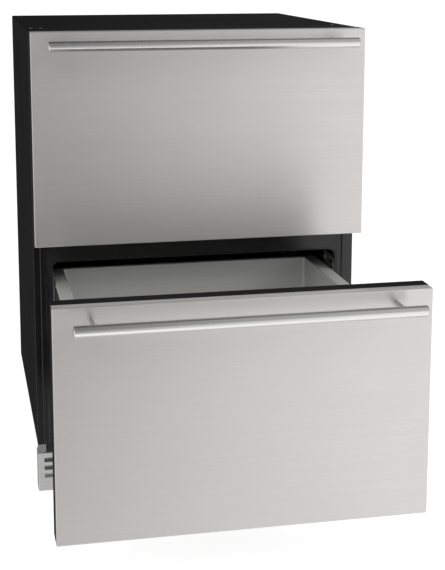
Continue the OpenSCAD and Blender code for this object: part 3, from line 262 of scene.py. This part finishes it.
coatedParts = {
    "black_paint": {"dark": (0.0065, 0.0065, 0.007), "light": (0.009, 0.009, 0.0095), "rough": (0.62, 0.72),
                    "scale": 760, "depth": 0.16, "specular": 0.04},
    "frame_black": {"dark": (0.006, 0.006, 0.0065), "light": (0.0095, 0.0095, 0.01), "rough": (0.14, 0.2),
                    "scale": 620, "depth": 0.05},
    "liner_black": {"dark": (0.007, 0.007, 0.0075), "light": (0.011, 0.011, 0.0115), "rough": (0.16, 0.24),
                    "scale": 480, "depth": 0.05},
    "core_plastic": {"dark": (0.006, 0.006, 0.0065), "light": (0.01, 0.01, 0.0105), "rough": (0.6, 0.72),
                     "scale": 700, "depth": 0.2, "specular": 0.06},
    "compressor_black": {"dark": (0.012, 0.012, 0.013), "light": (0.018, 0.018, 0.019), "rough": (0.24, 0.34),
                         "scale": 300, "depth": 0.06, "coat": 0.4},
    "grommet_rubber": {"dark": (0.014, 0.014, 0.014), "light": (0.022, 0.022, 0.021), "rough": (0.7, 0.85),
                       "scale": 1500, "depth": 0.2, "specular": 0.3},
    "gasket_rubber": {"dark": (0.018, 0.018, 0.0185), "light": (0.026, 0.026, 0.0265), "rough": (0.62, 0.76),
                      "scale": 1600, "depth": 0.16, "specular": 0.3},
    "foot_plastic": {"dark": (0.016, 0.016, 0.016), "light": (0.024, 0.024, 0.024), "rough": (0.42, 0.55),
                     "scale": 900, "depth": 0.14},
    "fan_plastic": {"dark": (0.02, 0.02, 0.02), "light": (0.03, 0.03, 0.03), "rough": (0.3, 0.42), "scale": 700,
                    "depth": 0.08},
    "motor_metal": {"dark": (0.03, 0.03, 0.033), "light": (0.045, 0.045, 0.049), "rough": (0.32, 0.44),
                    "scale": 500, "depth": 0.1, "metallic": 0.6},
    "pan_plastic": {"dark": (0.02, 0.02, 0.02), "light": (0.03, 0.03, 0.03), "rough": (0.5, 0.62), "scale": 640,
                    "depth": 0.14},
    "box_plastic": {"dark": (0.05, 0.05, 0.053), "light": (0.07, 0.07, 0.074), "rough": (0.4, 0.52),
                    "scale": 820, "depth": 0.14}}
for slot, look in brushedMetals.items():
    makeBrushed(slot, **look)
for slot, look in coatedParts.items():
    makeCoated(slot, **look)
# painted shade: galvanised is darker than bare zinc's own tone, so the base pan seen through the kick plate's slots
# looks as if in shadow. The spangle and grain are the zinc's own pattern
makeSpangled("galvanised", (0.2, 0.205, 0.21), (0.36, 0.365, 0.37), (0.36, 0.54), crystals=90, grains=810,
             grainShare=0.35, depth=0.15)
makeFoam("foam", (0.72, 0.62, 0.38), (0.86, 0.78, 0.54), cells=420, depth=0.5)
makeLens("lens", (0.86, 0.86, 0.84), (0.95, 0.95, 0.93), (0.22, 0.34), ribs=160, depth=0.3)
print("finishes ready:", len(finishes))


def dressSolid(node):
    mesh = solids[node].data
    mesh.materials.clear()
    mesh.materials.append(finishes[slotOf[node]])
    for face in mesh.polygons:
        face.material_index = 0


for node in solids:
    dressSolid(node)


# shaping, in metres

mergeDistance = 1e-6
near = 1e-5


def only(kind, items):
    return [item for item in items if isinstance(item, kind)]


def rimOf(bm):
    return [edge for edge in bm.edges if edge.is_boundary]


def roundOff(bm, geometry, width, segments, affect="EDGES", clamp=False):
    bmesh.ops.bevel(bm, geom=geometry, offset=width, segments=segments, profile=0.5, affect=affect, material=-1,
                    clamp_overlap=clamp)


def finishPiece(name, bm, node, sharp=32, wall=None):
    # turns a bmesh into a piece that rides where the node does and takes the node's finish
    bmesh.ops.remove_doubles(bm, verts=bm.verts[:], dist=mergeDistance)
    bmesh.ops.recalc_face_normals(bm, faces=bm.faces[:])
    lowest = min(bm.faces, key=lambda face: face.calc_center_median().z)
    if wall and lowest.normal.z > 0:  # an open shell has its wall added on the inside
        bmesh.ops.reverse_faces(bm, faces=bm.faces[:])
    mesh = bpy.data.meshes.new(name)
    bm.to_mesh(mesh)
    bm.free()
    mesh.shade_smooth()
    mesh.set_sharp_from_angle(angle=math.radians(sharp))
    mesh.materials.append(finishes[slotOf[node]])
    piece = bpy.data.objects.new(name, mesh)
    bpy.context.scene.collection.objects.link(piece)
    if wall:
        shell = piece.modifiers.new("wall", "SOLIDIFY")
        shell.thickness = wall
        shell.offset = -1
        shell.use_even_offset = True
    shading = piece.modifiers.new("shading", "WEIGHTED_NORMAL")
    shading.keep_sharp = True
    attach(piece, bodyOf[node])
    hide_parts(node)


def lathe(bm, profile, centre, axis, steps):
    # turns (place along the axis, radius) pairs about a line on that axis through the centre
    along = "xyz".index(axis)
    outwards = 2 if axis == "x" else 0
    verts = []
    for place, radius in profile:
        point = list(centre)
        point[along] = place
        point[outwards] += radius
        verts.append(bm.verts.new(point))
    edges = [bm.edges.new(pair) for pair in zip(verts, verts[1:])]
    way = [0, 0, 0]
    way[along] = 1
    bmesh.ops.spin(bm, geom=verts + edges, cent=centre, axis=way, angle=2 * math.pi, steps=steps,
                   use_merge=True)


# folded and moulded solids with their hard edges broken: the width of each one's bevel
brokenEdges = {"cabinet_wrap": 0.0004, "front_frame": 0.001, "upper_liner": 0.0008, "lower_liner": 0.0008,
               "kick_plate": 0.0003, "kick_brackets": 0.0003, "rear_panel": 0.0004, "rear_cover": 0.0003,
               "base_pan": 0.0003, "slide_brackets": 0.0004, "slide_outers": 0.0002, "upper_door_core": 0.001,
               "lower_door_core": 0.001, "upper_bin_rails": 0.0004, "lower_bin_rails": 0.0004,
               "upper_slide_mids": 0.0002, "lower_slide_mids": 0.0002, "upper_slide_inners": 0.0002,
               "lower_slide_inners": 0.0002, "control_box": 0.0012, "evaporator_cover": 0.0006,
               "power_inlet": 0.0005, "interior_lights": 0.0005, "fan_shroud": 0.0004, "drain_pan": 0.0005,
               "compressor": 0.0006}
edgeBreak = {"merge": 2e-5, "flatAngle": 1, "hardAngle": 50, "segments": 2, "sharp": 40}


def breakEdges(node, width):
    bm = bmesh.new()
    bm.from_mesh(solids[node].data)
    bmesh.ops.remove_doubles(bm, verts=bm.verts[:], dist=edgeBreak["merge"])
    bmesh.ops.dissolve_limit(bm, angle_limit=math.radians(edgeBreak["flatAngle"]), verts=bm.verts[:],
                             edges=bm.edges[:])
    hardAngle = math.radians(edgeBreak["hardAngle"])
    hard = [edge for edge in bm.edges if edge.is_manifold and edge.calc_face_angle() > hardAngle]
    roundOff(bm, hard, width, edgeBreak["segments"], clamp=True)
    bmesh.ops.triangulate(bm, faces=[face for face in bm.faces if len(face.verts) > 4])
    finishPiece(node + "_broken_edges", bm, node, sharp=edgeBreak["sharp"])


for node, width in brokenEdges.items():
    breakEdges(node, width)
print("edges broken on", len(brokenEdges), "solids")


# stainless drawer fronts, bent from one sheet: their side returns are shorter than the top and bottom ones
frontPanel = {"bend": 0.0015, "segments": 5, "sideReturn": 0.0115, "sideBand": 0.003, "sheet": 0.0012}


def buildFrontPanel(level):
    node = level + "_front_skin"
    low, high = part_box(node)
    size, middle = high - low, (high + low) / 2
    bm = bmesh.new()
    bmesh.ops.create_cube(bm, size=1)
    bmesh.ops.scale(bm, vec=size, verts=bm.verts)
    bmesh.ops.translate(bm, vec=middle, verts=bm.verts)
    back = [face for face in bm.faces if face.normal.y > 0.9]
    bmesh.ops.delete(bm, geom=back, context="FACES_ONLY")
    bends = [edge for edge in bm.edges if all(vert.co.y < low.y + mergeDistance for vert in edge.verts)]
    corners = [edge for edge in bm.edges if abs(edge.verts[0].co.y - edge.verts[1].co.y) > size.y / 2]
    roundOff(bm, bends + corners, frontPanel["bend"], frontPanel["segments"])
    sides = [face for face in bm.faces if abs(face.normal.x) > 0.5
             and abs(face.calc_center_median().x) > size.x / 2 - frontPanel["sideBand"]
             and face.calc_center_median().y > low.y + frontPanel["bend"]]
    sideEdges = {edge for face in sides for edge in face.edges}
    sideVerts = {vert for face in sides for vert in face.verts}
    plane = low.y + frontPanel["sideReturn"]
    bmesh.ops.bisect_plane(bm, geom=sides + list(sideEdges) + list(sideVerts), plane_co=(0, plane, 0),
                           plane_no=(0, 1, 0))
    spare = [face for face in bm.faces if abs(face.normal.x) > 0.9 and face.calc_center_median().y > plane]
    bmesh.ops.delete(bm, geom=spare, context="FACES")
    finishPiece(level + "_front_panel", bm, node, wall=frontPanel["sheet"])


# handle bars: the dished end with its rounded rim, in shares of the dish, of the chamfer, of the radius, and of the
# chamfer that comes off that radius
pullBar = {"steps": 72, "chamfer": 0.0013, "dish": 0.0006, "sharp": 50,
           "end": [(1, 0, 0, 0), (0.5, 0, 0.55, 0), (0, 0, 1, 2.2), (0, 0.15, 1, 1), (0, 1, 1, 0.15),
                   (0, 1.8, 1, 0)]}


def buildPullBar(level):
    node = level + "_handle_bar"
    low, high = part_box(node)
    radius = (high.z - low.z) / 2
    dish, chamfer = pullBar["dish"], pullBar["chamfer"]

    def endProfile(x, inward):
        return [(x + inward * (dish * dished + chamfer * cut), radius * wide - chamfer * less)
                for dished, cut, wide, less in pullBar["end"]]

    bm = bmesh.new()
    profile = endProfile(low.x, 1) + endProfile(high.x, -1)[::-1]
    lathe(bm, profile, (0, (low.y + high.y) / 2, (low.z + high.z) / 2), "x", pullBar["steps"])
    finishPiece(level + "_pull_bar", bm, node, sharp=pullBar["sharp"])


# posts of a handle bar: a collar against the sheet, its shoulder in shares of the collar's height and width, and a
# flare into the bar as (distance, added radius)
pullPost = {"steps": 40, "collar": 0.0012, "collarHeight": 0.0016, "shoulder": (0.7, 0.6), "sheetGap": 0.0001,
            "sharp": 40, "flare": [(0.004, 0), (0.0015, 0.0006), (0, 0.0016)]}


def buildPullPosts(level):
    node = level + "_handle_posts"
    low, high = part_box(node)
    radius = (high.z - low.z) / 2
    collar, tall = pullPost["collar"], pullPost["collarHeight"]
    lower, narrower = pullPost["shoulder"]
    foot = high.y - pullPost["sheetGap"]
    profile = [(foot, 0), (foot, radius + collar), (high.y - tall * lower, radius + collar),
               (high.y - tall, radius + collar * narrower), (high.y - tall, radius)]
    profile += [(low.y + distance, radius + added) for distance, added in pullPost["flare"]]
    profile.append((low.y, 0))
    bm = bmesh.new()
    for x in (low.x + radius, high.x - radius):
        lathe(bm, profile, (x, 0, (low.z + high.z) / 2), "y", pullPost["steps"])
    finishPiece(level + "_pull_posts", bm, node, sharp=pullPost["sharp"])


for level in levels:
    buildFrontPanel(level)
    buildPullBar(level)
    buildPullPosts(level)
print("drawer fronts built")


# door gaskets: one profile, inset and raised round the opening, as (inwards, towards the frame) steps
gasketRing = {"corner": 0.0235, "segments": 8, "sharp": 60,
              "steps": [(0, 0.0042), (0.0004, 0.0003), (0, 0.0004), (-0.0004, 0.0003), (0, 0.0032),
                        (0.0004, 0.0012), (0.0012, 0.0006), (0.0026, 0), (0.0006, -0.0008), (0.0006, 0.0008),
                        (0.0026, 0), (0.0012, -0.0006), (0.0004, -0.0012), (0, -0.0032), (-0.0004, -0.0003),
                        (0, -0.0004), (0.0004, -0.0003), (0, -0.0042)]}


def buildGasket(level):
    node = level + "_gasket"
    low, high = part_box(node)
    middle, size = (low + high) / 2, high - low
    bm = bmesh.new()
    bmesh.ops.create_grid(bm, x_segments=1, y_segments=1, size=0.5)
    bmesh.ops.rotate(bm, cent=(0, 0, 0), matrix=Matrix.Rotation(math.radians(-90), 3, "X"), verts=bm.verts)
    bmesh.ops.scale(bm, vec=(size.x, 1, size.z), verts=bm.verts)
    bmesh.ops.translate(bm, vec=(middle.x, low.y, middle.z), verts=bm.verts)
    roundOff(bm, bm.verts[:], gasketRing["corner"], gasketRing["segments"], affect="VERTICES")
    inside = bm.faces[:]
    for inward, rise in gasketRing["steps"]:
        bmesh.ops.inset_region(bm, faces=inside, thickness=inward, depth=rise, use_even_offset=True,
                               use_boundary=True)
    bmesh.ops.delete(bm, geom=inside, context="FACES_ONLY")
    bmesh.ops.bridge_loops(bm, edges=rimOf(bm))
    finishPiece(level + "_door_gasket", bm, node, sharp=gasketRing["sharp"])


# drawer bins, folded from sheet with rolled rims; the lower one's floor steps up behind its deep part
drawerBin = {"sheet": 0.0012, "flange": 0.023, "lip": 0.003, "lap": 0.008, "hem": 0.0052, "corner": 0.008,
             "cornerSegments": 5, "bend": 0.0012, "bendSegments": 3, "bendAngle": 60, "deep": 0.3,
             "rise": {"upper": 0, "lower": 0.1607}}


def buildBin(level):
    node = level + "_bin"
    low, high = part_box(node)
    sheet, rise = drawerBin["sheet"], drawerBin["rise"][level]
    side, top = high.x - drawerBin["flange"], high.z - sheet
    front, back = low.y + drawerBin["lip"], high.y - drawerBin["lap"]
    step = front + drawerBin["deep"]
    outline = [(front, top), (front, low.z)]
    outline += [(step, low.z), (step, low.z + rise), (back, low.z + rise)] if rise else [(back, low.z)]
    outline.append((back, top))
    bm = bmesh.new()
    end = bm.faces.new([bm.verts.new((-side, y, z)) for y, z in outline])
    pushed = bmesh.ops.extrude_face_region(bm, geom=[end])["geom"]
    bmesh.ops.translate(bm, vec=(2 * side, 0, 0), verts=only(BMVert, pushed))
    bmesh.ops.recalc_face_normals(bm, faces=bm.faces[:])
    lid = [face for face in bm.faces if face.normal.z > 0.9 and face.calc_center_median().z > top - near]
    bmesh.ops.delete(bm, geom=lid, context="FACES_ONLY")
    folds = [edge for edge in bm.edges if not edge.is_boundary]
    roundOff(bm, folds, drawerBin["corner"], drawerBin["cornerSegments"])
    # the rim goes outwards, and down again at the sides
    flange = bmesh.ops.extrude_edge_only(bm, edges=rimOf(bm))["geom"]
    outer = only(BMVert, flange)
    centre = (front + back) / 2
    widen = ((high.x - sheet) / side, (high.y - low.y) / (back - front), 1)
    bmesh.ops.scale(bm, vec=widen, space=Matrix.Translation((0, -centre, 0)), verts=outer)
    bmesh.ops.translate(bm, vec=(0, (low.y + high.y) / 2 - centre, 0), verts=outer)
    sides = [edge for edge in only(BMEdge, flange) if edge.is_boundary
             and all(abs(vert.co.x) > high.x - sheet - near for vert in edge.verts)]
    hem = bmesh.ops.extrude_edge_only(bm, edges=sides)["geom"]
    bmesh.ops.translate(bm, vec=(0, 0, sheet - drawerBin["hem"]), verts=only(BMVert, hem))
    bendAngle = math.radians(drawerBin["bendAngle"])
    bends = [edge for edge in bm.edges if edge.is_manifold and edge.calc_face_angle() > bendAngle]
    roundOff(bm, bends, drawerBin["bend"], drawerBin["bendSegments"], clamp=True)
    finishPiece(level + "_drawer_bin", bm, node, wall=sheet)


for level in levels:
    buildGasket(level)
    buildBin(level)
print("gaskets and bins built")


# levelling legs: moulded foot as (height, inset), its neck as (below the foot's top, added radius), then the
# hexagon and the threaded stud
levelLeg = {"foot": 0.008, "footSteps": 40, "hex": 0.0098, "hexTop": 0.0155, "hexChamfer": 0.0004,
            "rim": [(0, 0.0012), (0.0004, 0.0003), (0.0012, 0), (0.0036, 0), (0.0044, 0.0006), (0.0062, 0.0032),
                    (0.0068, 0.0045)],
            "neck": [(0.0006, 0.0016), (0, 0.0008)],
            "stud": 0.005, "studSteps": 24, "pitch": 0.0015, "thread": 0.0006, "sharp": 35}


def buildLeg(node):
    low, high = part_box(node)
    x, y = (low.x + high.x) / 2, (low.y + high.y) / 2
    radius, foot, hexagon, top = (high.x - low.x) / 2, levelLeg["foot"], levelLeg["hex"], levelLeg["hexTop"]
    bm = bmesh.new()
    profile = [(0, 0)] + [(height, radius - inset) for height, inset in levelLeg["rim"]]
    profile += [(foot - below, hexagon + added) for below, added in levelLeg["neck"]] + [(foot, 0)]
    lathe(bm, profile, (x, y, 0), "z", levelLeg["footSteps"])
    nut = bmesh.ops.create_cone(bm, cap_ends=True, segments=6, radius1=hexagon, radius2=hexagon,
                                depth=top - foot, matrix=Matrix.Translation((x, y, (top + foot) / 2)))["verts"]
    roundOff(bm, list({edge for vert in nut for edge in vert.link_edges}), levelLeg["hexChamfer"], 2)
    stud, thread, pitch = levelLeg["stud"], levelLeg["thread"], levelLeg["pitch"]
    profile = [(top, 0), (top, stud - thread)]
    for turn in range(int((high.z - top) / pitch)):
        profile += [(top + (turn + 0.5) * pitch, stud), (top + (turn + 1) * pitch, stud - thread)]
    profile += [(high.z, stud - 2 * thread), (high.z, 0)]
    lathe(bm, profile, (x, y, 0), "z", levelLeg["studSteps"])
    finishPiece(node + "_leveller", bm, node, sharp=levelLeg["sharp"])


for node in ("leg_front_left", "leg_front_right", "leg_rear_left", "leg_rear_right"):
    buildLeg(node)
print("legs built")


# cross-recessed screws: rings are (radius, height) from the head's flat top down, and each head is given by its
# place and the way that it faces
screwHead = {"segments": 24, "cross": 0.55, "recess": 0.3, "waist": 0.34, "lobePower": 3, "taper": 0.6}
screwSets = {
    "flush_screws": {
        "node": "cabinet_screws", "radius": 0.0036,
        "rings": [(0.0034, 0), (0.0036, -0.0002), (0.002, -0.0012), (0.002, -0.006)],
        "heads": [((x, 0.0185, 0.867), "up") for x in (-0.295, -0.276, 0.276, 0.295)]
        + [((-0.3035, -0.026, 0.045), "left"), ((0.3035, -0.026, 0.045), "right")]},
    "bracket_pan_screws": {
        "node": "bracket_screws", "radius": 0.0045,
        "rings": [(0.0026, 0.0022), (0.0036, 0.002), (0.0043, 0.0012), (0.0045, 0.0004), (0.0045, 0),
                  (0.0024, 0), (0.0024, -0.01)],
        "heads": [((x, y, z), way) for x, way in ((-0.267, "right"), (0.267, "left")) for y in (0.0085, 0.3665)
                  for z in (0.4166, 0.8092)]}}
facing = {"up": Matrix.Identity(4), "right": Matrix.Rotation(math.radians(90), 4, "Y"),
          "left": Matrix.Rotation(math.radians(-90), 4, "Y")}


def addScrew(bm, place, way, radius, rings):
    flat, rise = rings[0]
    head = bmesh.new()
    bmesh.ops.create_circle(head, cap_ends=True, segments=screwHead["segments"], radius=flat)
    bmesh.ops.translate(head, vec=(0, 0, rise), verts=head.verts)
    rim = head.edges[:]
    top = head.faces[:]
    bmesh.ops.inset_region(head, faces=top, thickness=flat - radius * screwHead["cross"], use_boundary=True)
    for vert in top[0].verts:
        lobe = abs(math.cos(2 * math.atan2(vert.co.y, vert.co.x))) ** screwHead["lobePower"]
        vert.co.xy *= screwHead["waist"] + (1 - screwHead["waist"]) * lobe
    pit = only(BMVert, bmesh.ops.extrude_face_region(head, geom=top)["geom"])
    bmesh.ops.scale(head, vec=(screwHead["taper"], screwHead["taper"], 1), verts=pit)
    bmesh.ops.translate(head, vec=(0, 0, -radius * screwHead["recess"]), verts=pit)
    for ring, height in rings[1:]:
        made = bmesh.ops.extrude_edge_only(head, edges=rim)["geom"]
        rim = only(BMEdge, made)
        bmesh.ops.scale(head, vec=(ring / flat, ring / flat, 1), verts=only(BMVert, made))
        bmesh.ops.translate(head, vec=(0, 0, height - rise), verts=only(BMVert, made))
        flat, rise = ring, height
    bmesh.ops.transform(head, matrix=Matrix.Translation(place) @ facing[way], verts=head.verts)
    mesh = bpy.data.meshes.new("screw")
    head.to_mesh(mesh)
    head.free()
    bm.from_mesh(mesh)
    bpy.data.meshes.remove(mesh)


for name, screws in screwSets.items():
    bm = bmesh.new()
    for place, way in screws["heads"]:
        addScrew(bm, place, way, screws["radius"], screws["rings"])
    finishPiece(name, bm, screws["node"])
print("screws built")


# studio floor: white to the camera, with the object's real shadow in its matt part and a painted shadow where its
# glow is taken away under the cabinet. Metal sees the pale ground through it, but not under the cabinet, where the
# shade box lies
studioFloor = {"size": 30.0, "drop": 0.0003, "glow": 0.86, "tone": 0.34, "bounceTone": 0.7,
               "shadeLow": (-0.29, -0.02), "shadeHigh": (0.29, 0.5), "shadeFade": 0.06}


def addPaintedShadowMask(tree):
    # painted shadow under the cabinet: 0 inside the shade box, 1 outside it
    place = addNode(tree, "ShaderNodeTexCoord")
    parts = addNode(tree, "ShaderNodeSeparateXYZ", {"Vector": place.outputs["Object"]})
    outside = []
    for axis, low, high in zip("XY", studioFloor["shadeLow"], studioFloor["shadeHigh"]):
        middle, half = (low + high) / 2, (high - low) / 2
        distance = calculate(tree, "ABSOLUTE", calculate(tree, "SUBTRACT", parts.outputs[axis], middle))
        outside.append(remap(tree, distance, start=half - studioFloor["shadeFade"], end=half, smooth=True))
    return calculate(tree, "MAXIMUM", *outside)


def addMatt(tree, tone):
    return addNode(tree, "ShaderNodeBsdfDiffuse", {"Color": (tone, tone, tone, 1)}).outputs[0]


def buildFloor():
    bm = bmesh.new()
    bmesh.ops.create_grid(bm, x_segments=1, y_segments=1, size=studioFloor["size"])
    mesh = bpy.data.meshes.new("floor")
    bm.to_mesh(mesh)
    bm.free()
    floor = bpy.data.objects.new("floor", mesh)
    floor.location.z = -studioFloor["drop"]
    bpy.context.scene.collection.objects.link(floor)
    material = bpy.data.materials.new("floor_white")
    material.use_nodes = True
    tree = material.node_tree
    tree.nodes.clear()
    output = addNode(tree, "ShaderNodeOutputMaterial")
    rays = addNode(tree, "ShaderNodeLightPath").outputs
    seen = calculate(tree, "MAXIMUM", rays["Is Camera Ray"], rays["Is Transmission Ray"])
    outsidePaintedShadow = addPaintedShadowMask(tree)
    # painted shadow: the floor's glow fades out in the shade box under the cabinet
    brightness = calculate(tree, "MULTIPLY", outsidePaintedShadow, studioFloor["glow"])
    glow = addNode(tree, "ShaderNodeEmission", {"Strength": brightness})
    white = addNode(tree, "ShaderNodeAddShader", {0: glow.outputs[0], 1: addMatt(tree, studioFloor["tone"])})
    solid = mixShaders(tree, seen, addMatt(tree, studioFloor["bounceTone"]), white.outputs[0])
    clear = addNode(tree, "ShaderNodeBsdfTransparent").outputs[0]
    through = calculate(tree, "MULTIPLY", rays["Is Glossy Ray"], outsidePaintedShadow)
    tree.links.new(mixShaders(tree, through, solid, clear), output.inputs["Surface"])
    floor.data.materials.append(material)


# studio walls: white to the camera. Metal sees their brightness from left (0) to right (1), times the strength,
# falling to the ceiling's share above and to the back's share behind, and the ground's own brightness below
studioWalls = {"stops": [(0, 0.75), (0.3, 0.65), (0.4, 0.02), (0.5, 0.07), (0.66, 0.8), (1, 0.76)],
               "strength": 1.5, "ceiling": 0.5, "ceilingZ": (-0.05, 0.5), "back": 0.4, "backY": (-0.25, 0.3),
               "ground": 1.2, "groundZ": (-0.7, -0.3), "fill": 0.7}


def buildWorld():
    world = bpy.data.worlds.new("studio")
    bpy.context.scene.world = world
    world.use_nodes = True
    tree = world.node_tree
    tree.nodes.clear()
    output = addNode(tree, "ShaderNodeOutputWorld")
    rays = addNode(tree, "ShaderNodeLightPath").outputs
    direction = addNode(tree, "ShaderNodeTexCoord").outputs["Generated"]
    parts = addNode(tree, "ShaderNodeSeparateXYZ", {"Vector": direction}).outputs

    def ramp(axis, span, first, last):
        return remap(tree, parts[axis], first, last, *span, smooth=True)

    def backdrop(strength):
        return addNode(tree, "ShaderNodeBackground", {"Color": (1, 1, 1, 1), "Strength": strength}).outputs[0]

    walls = addNode(tree, "ShaderNodeValToRGB", {"Fac": remap(tree, parts["X"], start=-1, end=1)})
    stops = walls.color_ramp.elements
    for place, glow in studioWalls["stops"][1:-1]:
        stops.new(place)
    for stop, (place, glow) in zip(stops, studioWalls["stops"]):
        stop.position = place
        stop.color = (glow, glow, glow, 1)
    wall = calculate(tree, "MULTIPLY", walls.outputs["Color"], studioWalls["strength"])
    shaded = calculate(tree, "MULTIPLY", wall, ramp("Z", studioWalls["ceilingZ"], 1.0, studioWalls["ceiling"]))
    level = mixValues(tree, ramp("Z", studioWalls["groundZ"], 1.0, 0.0), shaded, studioWalls["ground"])
    shine = calculate(tree, "MULTIPLY", level, ramp("Y", studioWalls["backY"], 1.0, studioWalls["back"]))
    unseen = mixShaders(tree, rays["Is Glossy Ray"], backdrop(studioWalls["fill"]), backdrop(shine))
    tree.links.new(mixShaders(tree, rays["Is Camera Ray"], unseen, backdrop(1.0)), output.inputs["Surface"])


# lamps: the key from the right, a weaker fill from above the camera
softboxes = {"key": {"place": (2.6, -2.2, 2.0), "target": (0, 0, 0.45), "size": 1.6, "power": 42},
             "fill": {"place": (-0.7, -1.7, 2.1), "target": (0, -0.2, 0.45), "size": 1.2, "power": 16}}


def addSoftbox(name, place, target, size, power):
    data = bpy.data.lights.new(name, "AREA")
    data.shape = "RECTANGLE"
    data.size = data.size_y = size
    data.energy = power
    lamp = bpy.data.objects.new(name, data)
    lamp.location = place
    lamp.rotation_euler = (Vector(target) - Vector(place)).to_track_quat("-Z", "Y").to_euler()
    lamp.visible_glossy = False  # metal shows the studio's walls, not the lamps
    bpy.context.scene.collection.objects.link(lamp)


cameraSetup = {"place": (-0.438, -2.3004, 0.9975), "turn": 11.711, "tilt": -9.712, "lens": 79.55, "sensor": 36,
               "shift": (0.0179, -0.2)}


def buildCamera():
    data = bpy.data.cameras.new("camera")
    data.lens = cameraSetup["lens"]
    data.sensor_width = cameraSetup["sensor"]
    data.shift_x, data.shift_y = cameraSetup["shift"]
    camera = bpy.data.objects.new("camera", data)
    camera.location = cameraSetup["place"]
    camera.rotation_euler = (math.radians(90 + cameraSetup["tilt"]), 0, -math.radians(cameraSetup["turn"]))
    bpy.context.scene.collection.objects.link(camera)
    bpy.context.scene.camera = camera


buildFloor()
buildWorld()
for name, softbox in softboxes.items():
    addSoftbox(name, **softbox)
buildCamera()
bpy.context.scene.view_settings.view_transform = "Standard"

print("studio ready")
